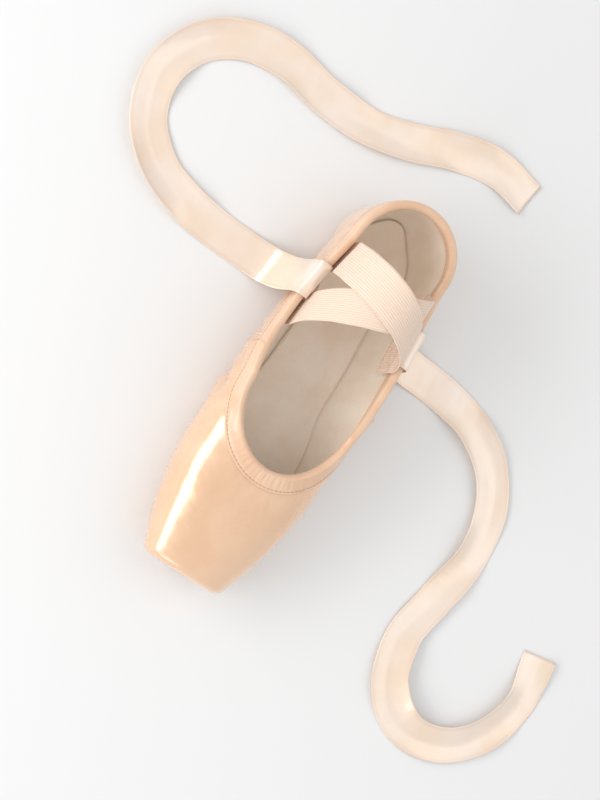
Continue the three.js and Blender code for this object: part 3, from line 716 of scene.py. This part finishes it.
# %% Suede
LOBE_CENTRE = 0.083  # of the worn heel, in the frame
suede = Finish("suede", Roughness=0.9, Sheen_Weight=0.25, Sheen_Roughness=0.6)
patch = suede.noise(suede.place(), 38.0, 4.0, 0.6)
nap = suede.noise(suede.place((1, 0.45, 1)), 900.0, 3.0, 0.65)
scratch = suede.noise(suede.place((9, 1, 1), (0, 0, 0.5)), 60.0, 4.0, 0.7)
scuff = suede.noise(suede.place((1, 7, 1), (0, 0, -0.35)), 90.0, 3.0, 0.6)
dents = suede.noise(suede.place(), 260.0, 1.0).over(0.75, 0.8)
across, along, _ = suede.parts(suede.place())
behind = along - LOBE_CENTRE
from_centre = (across * across + behind * behind).power(0.5)
spokes = (across.math("ARCTAN2", across, behind) * 44 + patch * 9).sine().over(0.8, 0.97)
rim_band = from_centre.over(0.0150, 0.0165) * (1 - from_centre.over(0.0192, 0.0208))
nicks = spokes * (rim_band * behind.over(-0.012, 0.002))
tone = suede.mix(patch.over(0.3, 0.72), "ddb98b", "eacca3")
for mask, shade in (
    (nap.over(0.45, 0.75) * 0.35, "c59c6c"), (scratch.over(0.66, 0.8) * 0.4, "eedbb8"),
    (scuff.over(0.68, 0.8) * 0.45, "a98459"), (suede.mark("worn").limit() * 0.6, "c39b6c"),
    (dents * 0.6, "8d6a45"), (nicks * 0.7, "f6e3c4"), (suede.mark("edge").over(0.2, 0.75) * 0.85, "6b4427"),
):
    tone = suede.mix(mask, tone, shade)
suede.join("Base Color", tone)
suede.join("Roughness", 0.92 - suede.mark("edge").limit() * 0.3 - scuff.over(0.68, 0.8) * 0.15)
suede.raise_by(nap * 0.8 + nicks * 0.6 - dents + scuff.over(0.6, 0.8) * -0.6 + patch * 0.4, 0.00035, 0.7)
print("sole:", suede.material.name)

# %% [markdown]
# The upper
# The satin upper is one hollow skin, turned under the sole below and open at the top, so its grid runs
# up the outside and down the inside. Satin pulled over a form shows it in a few long soft folds, so each
# fold is given as a trough from one point to another, with a ridge on both sides.

# %% Folds in the satin
FOLDS = [  # from (along, height) to (along, height), width, depth, the side or both
    ((142, 8), (131.5, 33), 3.4, 1.15, 0), ((150, 10), (137, 40), 4.4, 0.70, 0),
    ((123, 7), (99, 27), 4.2, 1.20, 0), ((124, 14), (112, 37), 3.6, 0.65, 0),
    ((117, 5), (84, 12), 3.8, 0.70, 0), ((168, 8), (148, 26), 5.0, 0.55, 0),
    ((198, 46), (174, 25), 5.5, 0.45, 1), ((208, 22), (186, 12), 5.0, 0.45, -1),
    ((99, 40), (82, 34), 3.0, 0.26, -1), ((88, 39), (66, 30), 3.4, 0.24, -1),
    ((72, 38), (48, 27), 4.5, 0.24, -1), ((92, 36), (70, 22), 6.0, 0.30, 1),
    ((36, 36), (22, 24), 5.0, 0.24, -1), ((60, 12), (40, 7), 4.5, 0.30, 0),
]
FOLD_BOW = 2.2


def fold_depth(p):
    """How far the folds move points of the upper outwards, in millimetres."""
    moved = np.zeros(p.shape[:-1])
    for start, end, width, depth, side in FOLDS:
        start, end = np.array([start, end], float)
        reach = np.linalg.norm(end - start)
        way = (end - start) / reach
        from_start = p[..., 1:3] - start
        walked = (from_start * way).sum(-1)
        bow = FOLD_BOW * np.sin(math.pi * np.clip(walked / reach, 0, 1))
        off = from_start @ np.array([-way[1], way[0]]) - bow
        fade = smooth(walked, -7, 7) * (1 - smooth(walked, reach - 8, reach + 8))
        ridges = 0.55 * bump(off - 1.9 * width, width) + 0.45 * bump(off + 1.9 * width, width)
        here = 1 if side == 0 else smooth(p[..., 0] * side, 4, 12)
        moved += depth * fade * (ridges - bump(off, width)) * here
    return moved * smooth(np.abs(p[..., 0]), 14, 22)


print(len(FOLDS), "folds, the deepest", max(fold[3] for fold in FOLDS), "mm")

# %% Gathers and side seams


def round_throat(p):
    """The angle of a point round the middle of the throat, 0 at its front."""
    return np.arctan2(p[..., 0], THROAT_MIDDLE - p[..., 1])


def gathers(p, from_edge):
    """Fine puckers under the binding and longer drags, where the drawstring pulls."""
    angle = round_throat(p)
    waves = np.sin(angle * 34 + 0.7 * np.sin(angle * 13)) + 0.5 * np.sin(angle * 53 + 1)
    near_centre = 0.05 * bump(angle, 0.75) * waves * (1 - smooth(from_edge, 9, 15))
    drags = np.sin(angle * 21 + 1.3 * np.sin(angle * 8)) * (1 - smooth(from_edge, 11, 32))
    return near_centre + 0.09 * bump(np.abs(angle) - 0.95, 0.5) * drags * smooth(p[..., 1], 45, 60)


def seam_step(p):
    """The front of each side seam stands proud of the quarter behind it, with a rolled lip."""
    before = SIDE_SEAM - p[..., 1]
    lip = np.sqrt(np.clip(1 - (1 - np.clip(before / 0.9, 0, 1)) ** 2, 0, 1))
    roll = 1 + 0.7 * bump(before - 1.0, 1.0)
    step = SEAM_STEP * smooth(p[..., 1], SIDE_SEAM - SEAM_FADE, SIDE_SEAM) * smooth(p[..., 2], 6, 14)
    return np.where(before < 0, 0, step * lip * roll)


print("side seams stand", SEAM_STEP, "mm proud")

# %% The upper's grid
BINDING_WIDTH, SKIN_POINTS, TOP_POINTS = 9.0, 62, 7
outer_rows = np.array([
    np.vstack([spread(up_to(line, BINDING_WIDTH), SKIN_POINTS),
               before_end(line, np.linspace(BINDING_WIDTH, 0, TOP_POINTS + 1)[1:])])
    for line in page_line
])
row_length = np.array([walk(row) for row in outer_rows])
from_topline = row_length[:, -1:] - row_length
normals = outward(outer_rows)


def shaped(rows, out):
    """Rows moved outwards by folds, gathers and seam, and the depth of the folds."""
    folds = fold_depth(rows) * smooth(from_topline, 8, 20)
    return rows + out * (folds + gathers(rows, from_topline) + seam_step(rows))[..., None], folds


right_skin, right_folds = shaped(outer_rows, normals)
left_skin, left_folds = shaped(outer_rows * MIRROR, normals * MIRROR)
skin = both_sides(right_skin, left_skin)
inner_rows = (outer_rows - normals * wall_at(outer_rows[..., 1:2]))[:, ::-2]
upper_grid = np.hstack([skin, both_sides(inner_rows)])
pages_round, loop = upper_grid.shape[:2]
print("upper's grid:", pages_round, "by", loop)

# %% The upper
around = walk(outer_rows[:, SKIN_POINTS // 2])
up_cloth = np.hstack([from_topline, from_topline[:, ::-2]])
# painted shade: the upper is painted darker in the troughs of its folds and along the step of the side seam
seam_shade = bump(SIDE_SEAM + 0.1 - skin[..., 1], 0.5) * smooth(skin[..., 2], 6, 14)
fold_shade = np.clip(both_sides(right_folds, left_folds) * -0.55 - 0.12, 0, 0.45)
creases = np.zeros((pages_round, loop))
creases[:, :skin.shape[1]] = fold_shade + seam_shade * (np.abs(skin[..., 0]) > 10) * 0.6
upper_faces = grid_faces(upper_grid, True, True)
upper = mesh_piece(
    "satin_upper", upper_grid, upper_faces, [upper_satin, lining_cloth],
    (both_sides(around, -around)[:, None], both_sides(up_cloth, up_cloth)),
    np.arange(len(upper_faces)) % loop >= skin.shape[1], crease=creases,
)
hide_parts("upper")

# %% [markdown]
# Stitches
# A stitch is a short thread that dives into the cloth at both ends. One is modelled, as a flattened
# ball, and each row copies it along a line, a little unevenly. A row is one mesh, because hundreds of
# objects would be slow to draw.

# %% One stitch and rows of it
bpy.ops.mesh.primitive_uv_sphere_add(segments=8, ring_count=5, radius=0.5)
pattern = bpy.context.object
stitch_points = np.array([vertex.co[:] for vertex in pattern.data.vertices])[:, [2, 0, 1]]
stitch_faces = [list(face.vertices) for face in pattern.data.polygons]
bpy.data.objects.remove(pattern)


def stitch_row(name, lines, spacing, size, lift, seed=1, margin=0.0, finish=thread_finish):
    """lines holds pairs of points and outward ways. size is length, width and height."""
    rng = np.random.default_rng(seed)
    stitches = []
    for line, out in lines:
        walked = walk(line)
        count = max(2, int(round((walked[-1] - 2 * margin) / spacing)) + 1)
        at = np.linspace(margin, walked[-1] - margin, count)
        places, outs, ways = (at_places(at, walked, rows) for rows in (line, out, np.gradient(line, axis=0)))
        for place, up, way in zip(places, unit(outs), unit(ways)):
            way = way + rng.normal(0, 0.07, 3)
            way = unit(way - up * (way @ up))
            grow = 1 + rng.normal(0, 0.06)
            turned = np.array([way, np.cross(up, way), up])
            stitches.append(place + up * lift + (stitch_points * size * (grow, 1, 1)) @ turned)
    starts = range(0, len(stitches) * len(stitch_points), len(stitch_points))
    faces = [[i + start for i in face] for start in starts for face in stitch_faces]
    piece = mesh_piece(name, np.vstack(stitches), faces, [finish], closed=False, crease=0)


print("one stitch has", len(stitch_faces), "faces")

# %% [markdown]
# Binding
# A narrow tape is folded over the raw edge of the satin and sewn down on both sides. The drawstring in
# its roll gathers it into fine puckers at the throat. It is laid on the pages, so it follows the edge.

# %% The binding's section
BINDING_THICK, BINDING_ROLL = 0.8, 0.5
SEWN_AT, GROOVE = 4, 0.38      # the place in LEG that is sewn down, and how deep
LEG = np.array([9.0, 8.9, 8.5, 8.0, 7.5, 7.1, 6.4, 5.2, 4.0, 2.8, 1.6, 0.7, 0.0])


def tape_height(leg):
    """Thickness of the tape, with its sewn groove and its roll."""
    edge = 0.4 + 0.6 * np.sqrt(np.clip((BINDING_WIDTH - leg) / 0.6, 0, 1))
    groove = GROOVE * bump(leg - LEG[SEWN_AT], 0.6)
    return BINDING_THICK * edge - groove + BINDING_ROLL * smooth(-leg, -4.2, -0.3)


def pucker(p, leg):
    angle = round_throat(p)
    waves = np.sin(angle * 96 + 0.9 * np.sin(angle * 17)) + 0.6 * np.sin(angle * 61 + 1)
    near_string = bump(leg - 2.6, 2.4) + 0.25 * bump(leg - 6, 2.2)
    soft = np.sin(p[..., 1] * 0.61) * np.sin(p[..., 1] * 0.23 + p[..., 0])
    return 0.13 * bump(angle, 0.62) * waves * near_string + 0.05 * soft * smooth(leg, 0.5, 3.0)


print("tape at its roll:", tape_height(LEG).max().round(2), "mm")

# %% Binding tape
BELOW_TOP = 1.5  # a point this far down shows which way the wall rises
topline_rows = between([before_end(line, [*LEG, BELOW_TOP]) for line in page_line], 3)
outer, below_top = topline_rows[:, :-1], topline_rows[:, -1:]
out, wall, step = outward(outer), wall_at(outer[..., 1:2]), seam_step(outer)[..., None]
top, top_out, top_wall = outer[:, -1:], out[:, -1:], wall[:, -1:]
rising = unit(top - below_top)
height = (tape_height(LEG) + pucker(outer, LEG))[..., None]
outer_leg = outer + out * (step + GAP + height)
inner_leg = (outer - out * (wall + GAP + height))[:, ::-1]
half = top_wall / 2 + GAP + height[:, -1:]
angle = np.linspace(0, math.pi, 9)[1:-1, None]
roof = top + top_out * (half * np.cos(angle) - top_wall / 2) + rising * 1.9 * np.sin(angle)
binding_rows = np.hstack([
    outer_leg, roof, inner_leg, (outer - out * (wall + GAP))[:, ::4],
    top - top_out * (top_wall + GAP) + rising * GAP, top + top_out * (GAP + step[:, -1:]) + rising * GAP,
    (outer + out * (step + GAP))[:, ::-4],
])
binding_grid = both_sides(binding_rows)
over_tape = np.array([walk(row) for row in binding_rows])
# painted shade along the binding's lower edge and in its sewn groove
binding_painted_shade = np.zeros(binding_grid.shape[1])
binding_painted_shade[[0, 1, SEWN_AT]] = 0.55, 0.55, 0.45
binding = mesh_piece(
    "edge_binding", binding_grid, grid_faces(binding_grid, True, True), [binding_cloth],
    (walk(binding_grid[:, len(LEG)])[:, None], both_sides(over_tape, over_tape)), crease=binding_painted_shade,
)
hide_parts("binding")

# %% Stitches on the binding


def closed_line(half):
    """Both sides of a line round the topline, closed at the toe."""
    ring = both_sides(half)
    return np.vstack([ring, ring[:1]])


sewn_out = closed_line(out[:, SEWN_AT])
stitch_row(
    "binding_stitches",
    [(closed_line(outer_leg[:, SEWN_AT]), sewn_out), (closed_line(inner_leg[:, -1 - SEWN_AT]), -sewn_out)],
    2.4, (1.6, 0.56, 0.4), 0.04, finish=binding_thread_and_shade)

# %% [markdown]
# Sole and insole
# The outsole is a thin leather plate, narrow at the waist, with softly worn edges. It is worked out page
# by page, from the middle outwards, so it follows the shoe's underside. The insole is the cloth-covered
# board that shows inside.

# %% Outsole
OUTSOLE_THICK = 2.4
SOLE_SHARES = np.array([0, 0.16, 0.32, 0.48, 0.62, 0.74, 0.84, 0.91]) * 0.96
SOLE_INSETS = np.array([2.0, 1.2, 0.7, 0.35, 0.12])
NEAR_EDGE = [0] * 10 + [0.25, 0.6, 1, 1, 1, 1, 0.6, 0.3] + [0] * 10
CUT_LOW, CUT_HIGH = 0.95, 0.45  # the cut edge's ends, above the bottom and below the top
LOBE_AT, LOBE_RADIUS, LOBE_FRONT = 202, 15, 188  # the worn ring of the heel
BALL_AT, BALL_HALF, BALL_REACH = 68, 22, 26  # the worn patch of the ball


def floor_height(p):
    """Height at which the outside of the last begins above places on the plan."""
    top = last_widest(p[..., 1])

    def below(drop):
        return last_field(np.stack([p[..., 0], p[..., 1], top - drop], -1)) > 0
    return top - crossing(below, np.zeros(top.shape), np.full(top.shape, 45.0))


nick = 0.25 * np.sin(PAGES[:, 1] * 1.7 + 5 * PAGES[:, 3]) * (np.sin(PAGES[:, 1] * 0.43) > 0.86)
rim_reach = (outsole_reach(PAGES, 0) - np.abs(nick))[:, None]
under = on_page(PAGES, np.hstack([rim_reach * SOLE_SHARES, rim_reach - SOLE_INSETS]), 0)
over = under.copy()
over[..., 2] = floor_height(under) - GAP
under[..., 2] = over[..., 2] - OUTSOLE_THICK
under[..., -3:, 2] += np.array([0.04, 0.2, 0.55])
over[..., -2:, 2] -= np.array([0.04, 0.14])
rim = on_page(PAGES, rim_reach, 0)
rim_top = floor_height(rim) - GAP
rim_low, rim_high = rim.copy(), rim.copy()
rim_low[..., 2], rim_high[..., 2] = rim_top - OUTSOLE_THICK + CUT_LOW, rim_top - CUT_HIGH
sole_grid = both_sides(np.hstack([under, rim_low, rim_high, over[:, ::-1]]))
across, along = sole_grid[..., 0], sole_grid[..., 1]
heel_lobe = bump(np.hypot(across, along - LOBE_AT) - LOBE_RADIUS, 4.5) * (along > LOBE_FRONT)
ball = bump(np.hypot(across / BALL_HALF, (along - BALL_AT) / BALL_REACH), 0.8)
outsole = mesh_piece(
    "leather_outsole", sole_grid, grid_faces(sole_grid, True), [suede.material],
    edge=NEAR_EDGE, worn=0.55 * heel_lobe + 0.35 * ball,
)
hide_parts("outsole")
print("lowest at", round(min(v.co.z for v in outsole.data.vertices) / MM, 3), "mm")

# %% Insole
INSOLE_THICK, INSOLE_FRONT, INSOLE_RISE = 1.5, 12.0, 0.9
insole_rows = []


def bed_height(p):
    return floor_height(p) + wall_at(p[:, 1]) + 2 * GAP


for k, line in enumerate(page_line):
    bed = spread(up_to(line, BINDING_WIDTH), 500)
    bed = bed - outward(bed) * (wall_at(bed[:, 1:2]) + 2 * GAP)
    past = (bed[:, 2] > bed_height(bed * (0, 1, 1)) + INSOLE_RISE) | (bed[:, 1] < INSOLE_FRONT)
    stop = max(int(np.argmax(past)), 2)
    margin = spread(bed[:stop], 8)
    spine = on_page(PAGES[k:k + 1], np.zeros(1), 0)[0]
    centre = np.array([spine + (margin[0] - spine) * share for share in (0, 0.25, 0.5, 0.75)])
    centre[:, 2] = bed_height(centre)
    below = np.vstack([centre, margin])
    above = below + (0, 0, INSOLE_THICK)
    above[-2:, 2] -= 0.02, 0.45
    insole_rows.append(np.vstack([below, above[::-1]]))
insole_grid = both_sides(insole_rows)
insole = mesh_piece("covered_insole", insole_grid, grid_faces(insole_grid, True), [lining_cloth], crease=0)
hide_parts("insole")

# %% [markdown]
# Heel tape and toe panel
# A narrow tape covers the seam at the back of the heel, and a paler panel closes the underside of the
# toe between two corded seams. Both are thin stitched cloths, so they are grids on the upper's surface.

# %% Cloths laid on the upper
CLOTH_THICK = 0.6


def beyond_sole(line):
    return np.abs(line[:, 0]) > outsole_half(line[:, 1], -GAP)


def stretch(line, high, count):
    """The part of a line from the outsole's edge up to a height."""
    fine = between(line, 8)
    start = int(np.argmax(beyond_sole(fine)))
    past = (fine[:, 2] > high) & (np.arange(len(fine)) > start)
    end = int(np.argmax(past)) if past.any() else len(fine)
    return spread(fine[start:end], count)


def laid_cloth(name, rows, rims, finish):
    """A thin cloth over rows of points. rims thins it towards its first and last row."""
    rows, rims = np.asarray(rows), np.asarray(rims)[:, None]
    out = outward(rows)
    upper_side = rows + out * (GAP + CLOTH_THICK * rims)[..., None]
    grid = np.hstack([upper_side, (rows + out * GAP * 0.5)[:, ::-1]])
    across, along = walk(rows[:, rows.shape[1] // 2])[:, None], walk(rows[len(rows) // 2])
    piece = mesh_piece(name, grid, strip_faces(grid), [finish],
                       (across, np.concatenate([along, along[::-1]])), crease=(rims < 0.7) * 0.5)
    return piece, upper_side, out


print("these cloths are", CLOTH_THICK, "mm thick")

# %% Heel tape
TAPE_HALF, TAPE_SHARES = 5.75, (-1, -0.97, -0.9, -0.78, -0.6, -0.3, 0, 0.3, 0.6, 0.78, 0.9, 0.97, 1)
tape_lines = page_lines(np.array([page(HEEL_CENTRE, 180, share * TAPE_HALF) for share in TAPE_SHARES]))
tape_rows = [stretch(line, before_end(line, [BINDING_WIDTH + GAP])[0, 2], 40) for line in tape_lines]
tape_rims = [0.35, 0.75, 1, 0.8, 1, 1, 1, 1, 1, 0.8, 1, 0.75, 0.35]
heel_tape, tape_top, tape_out = laid_cloth("back_tape", tape_rows, tape_rims, heel_cloth)
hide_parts("heel_tape")
stitch_row(
    "tape_stitches", [(tape_top[k], tape_out[k]) for k in (3, 9)], 2.1, (1.35, 0.36, 0.3), 0.03, 4, 1.0)

# %% Toe panel
PANEL_TOP, PANEL_PAGES = 9.8, 25
panel_right = [stretch(line, PANEL_TOP, 26) for line in page_line[:PANEL_PAGES]]
panel_rows = [*[row * MIRROR for row in panel_right[:0:-1]], *panel_right]
panel_rims = [0.4, 0.8, *[1] * (len(panel_rows) - 4), 0.8, 0.4]
toe_panel, panel_top, panel_out = laid_cloth("toe_underside_panel", panel_rows, panel_rims, panel_cloth)
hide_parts("toe_panel")

# %% Panel cords
CORD_HEIGHT, CORD_HALF, CORD_SIDES = 0.55, 0.5, 10
cords = []
for side in (1, -1):
    line = panel_right[-1] * (side, 1, 1)
    out = outward(line)
    aside = np.cross(unit(np.gradient(line, axis=0)), out)
    twist = (1 + 0.06 * np.sin(np.arange(len(line)) * 2.4))[:, None]
    up, over = out * CORD_HEIGHT * twist, aside * CORD_HALF * twist
    turns = np.arange(CORD_SIDES) * FULL_TURN / CORD_SIDES
    ring = [up * math.cos(turn) + over * math.sin(turn) for turn in turns]
    cords.append((line + out * (GAP + 0.25))[:, None] + np.stack(ring, 1))
starts = (0, len(cords[0]) * CORD_SIDES)
cord_faces = [[i + start for i in face] for start in starts for face in strip_faces(cords[0])]
panel_cords = mesh_piece("panel_cords", np.concatenate(cords), cord_faces, [panel_cloth], crease=0)
stitch_row(
    "panel_stitches", [(panel_top[k], panel_out[k]) for k in (2, -3)], 1.7, (1.05, 0.32, 0.28), 0.02, 7, 0.6)

# %% Side seam stitches
STITCHED_AWAY, STITCHED_LOW = (-4.6, 4.4), 6.5  # from the seam, and above the floor
seam_rows = []
for away in STITCHED_AWAY:
    line = page_lines(np.array([page(SIDE_SEAM + away, 90)]))[0]
    walked = walk(line)
    from_top = walked[-1] - walked
    keep = (line[:, 2] > STITCHED_LOW) & (from_top > BINDING_WIDTH + 0.6) & beyond_sole(line)
    for side in (1, -1):
        row = line[keep] * (side, 1, 1)
        out = outward(row)
        moved = fold_depth(row) * smooth(from_top[keep], 8, 20) + seam_step(row)
        seam_rows.append((row + out * moved[:, None], out))
stitch_row("seam_stitches", seam_rows, 2.6, (1.9, 0.4, 0.36), 0.06, 9, 0.5)

# %% [markdown]
# Elastics
# Two elastics are sewn inside the quarters and cross over the instep. Each is a ribbed band over a model
# of the instep: half an ellipse at each place along, whose ridge climbs towards the heel. The upper one
# lifts a little to pass over the other.

# %% The instep under the bands
ELASTIC_WIDTH, ELASTIC_THICK, ELASTIC_SEWN = 20.0, 1.0, 18.0
INSTEP_TOP, INSTEP_MIDDLE, INSTEP_RISE, RIBBON_ROOM = 84.0, 171.0, 0.42, 2.1


def inside_quarter(along, height, distance):
    def outside(across):
        return last_field(np.stack([across, along, height], -1)) > 0
    outer = crossing(outside, np.full(along.shape, 5.0), np.full(along.shape, 60.0))
    return outer - wall_at(along) - distance


def on_instep(along, turn, lift):
    """turn runs from 0 at the right topline to 1 at the left one, and on past both."""
    topline = topline_height(along)
    inset = GAP + BINDING_THICK + BINDING_ROLL + RIBBON_ROOM + ELASTIC_THICK
    rise = INSTEP_TOP + INSTEP_RISE * (along - INSTEP_MIDDLE) - topline
    below = np.maximum(np.maximum(-turn, turn - 1), 0)
    low = topline - below * ELASTIC_SEWN
    side = np.where(turn < 0.5, 1.0, -1.0)
    sewn = np.stack([side * (inside_quarter(along, low, inset) + lift), along, low], -1)
    angle = turn * math.pi
    half = inside_quarter(along, topline, inset)
    arch = np.stack([half * np.cos(angle), along, topline + rise * np.sin(angle)], -1)
    out = np.stack([np.cos(angle) / half, -INSTEP_RISE * np.sin(angle) / rise, np.sin(angle) / rise], -1)
    return np.where((below > 0)[..., None], sewn, arch + unit(out) * lift[..., None])


print("instep:", INSTEP_TOP, "mm high")

# %% Elastic bands
ARCH_LIFT, BAND_POINTS, BAND_RIBS = 0.05, 33, 16
band_across = np.linspace(-1, 1, BAND_POINTS)
sewn_sheets = []


def elastic_piece(name, node, start, end, lift):
    sewn = np.linspace(-1, 0, 11)
    turns = np.concatenate([sewn, np.linspace(0, 1, 91)[1:-1], sewn + 2])[:, None]
    share = np.clip(turns, 0, 1)
    reach = ELASTIC_WIDTH / 2 / math.cos(math.atan2(end - start, INSTEP_TOP))
    along = start + (end - start) * share + reach * (1 + 0.006 * np.sin(turns * 41)) * band_across
    over = lift * smooth(share, 0, ARCH_LIFT) * smooth(1 - share, 0, ARCH_LIFT)
    turn = turns + 0 * band_across
    rim = np.clip((1 - np.abs(band_across)) / 0.05, 0, 1) ** 0.5
    relief = 0.07 * np.cos(band_across * math.pi * BAND_RIBS) + np.where(np.abs(band_across) > 0.93, 0.10, 0)
    top = on_instep(along, turn, over + ELASTIC_THICK * (0.45 + 0.5 * rim) + relief)
    bottom = on_instep(along, turn, over + ELASTIC_THICK * (0.45 - 0.4 * rim))
    grid = np.hstack([top, bottom[:, ::-1]])
    offs = np.concatenate([band_across, band_across[::-1]])
    # painted shade where the band bends over the topline, and a darker tone along its edges
    marks = (bump(turns, 0.012) + bump(turns - 1, 0.012)) * 0.5 + 0.3 * bump(np.abs(offs) - 0.95, 0.03)
    piece = mesh_piece(
        name, grid, strip_faces(grid), [web.material],
        (offs * ELASTIC_WIDTH / 2, walk(top[:, BAND_POINTS // 2])[:, None]), crease=marks,
    )
    sewn_sheets.extend([bottom[1:9, 3:-3], bottom[-9:-1, 3:-3]])
    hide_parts(node)


elastic_piece("front_elastic", "elastic_left", 188, 153, 0.0)
elastic_piece("rear_elastic", "elastic_right", 162, 189, ELASTIC_THICK + 2 * GAP)

# %% [markdown]
# Sewn ends
# The ends of elastics and ribbons are sewn down by hand, with a box of stitches and a cross inside it.
# The box follows the end's own grid of points, on the side that faces the foot.

# %% Boxes of stitches


def box_lines(sheet):
    """The sides and diagonals of a grid of points, with directions to the middle."""
    share = np.linspace(0, 1, 12)[:, None]
    lines = [sheet[0], sheet[-1], sheet[:, 0], sheet[:, -1]]
    for start, end in ((sheet[0, 0], sheet[-1, -1]), (sheet[0, -1], sheet[-1, 0])):
        lines.append(start * (1 - share) + end * share)
    inwards = (-math.copysign(1.0, sheet[0, 0, 0]), 0.0, 0.0)
    return [(line, np.tile(inwards, (len(line), 1))) for line in lines]


sewn_sheets += [sheet[3:27, 2:-2] for sheet in ribbon_sheets.values()]
boxes = [pair for sheet in sewn_sheets for pair in box_lines(sheet)]
stitch_row("sewn_ends", boxes, 2.2, (1.6, 0.45, 0.4), 0.15, 11, 0.4)

# %% [markdown]
# Floor and light
# The floor is plain and pale. A long soft light stands low beside the left quarter, so that the satin
# shows a long pale gleam there. A weaker one lights the toe, a large one on the other side fills the
# shadows, and a bright world keeps them pale, as in a white studio.

# %% Floor, lights and world
bpy.ops.mesh.primitive_plane_add(size=6, location=(0, 0, 0))
floor = bpy.context.object
floor.name = "floor"
floor.data.materials.append(Finish("floor", Roughness=0.9, Base_Color=(0.86, 0.86, 0.86, 1)).material)
for name, place, target, size, power, tint in (
    ("key light", (-1.0, -0.35, 0.56), (0, -0.04, 0.02), (1.3, 0.46), 8.2, (1, 1, 1)),
    ("front light", (-0.25, -1.2, 0.5), (0, -0.05, 0.02), (0.7, 0.5), 1.8, (1, 0.99, 0.975)),
    ("fill light", (0.9, 0.5, 1.0), (0, 0, 0.02), (1.2, 1.2), 2.6, (0.98, 0.99, 1)),
):
    light = bpy.data.lights.new(name, "AREA")
    light.shape, light.size, light.size_y = "RECTANGLE", *size
    light.energy, light.color = power, tint
    lamp = bpy.data.objects.new(name, light)
    bpy.context.scene.collection.objects.link(lamp)
    lamp.location = place
    lamp.rotation_euler = (Vector(target) - Vector(place)).to_track_quat("-Z", "Y").to_euler()
world = bpy.data.worlds.new("studio")
world.use_nodes = True
sky = world.node_tree.nodes["Background"].inputs
sky["Color"].default_value = (1, 1, 1, 1)
sky["Strength"].default_value = 0.73
bpy.context.scene.world = world
bpy.context.scene.view_settings.view_transform = "Standard"
print("lights:", [lamp.name for lamp in bpy.data.lights])
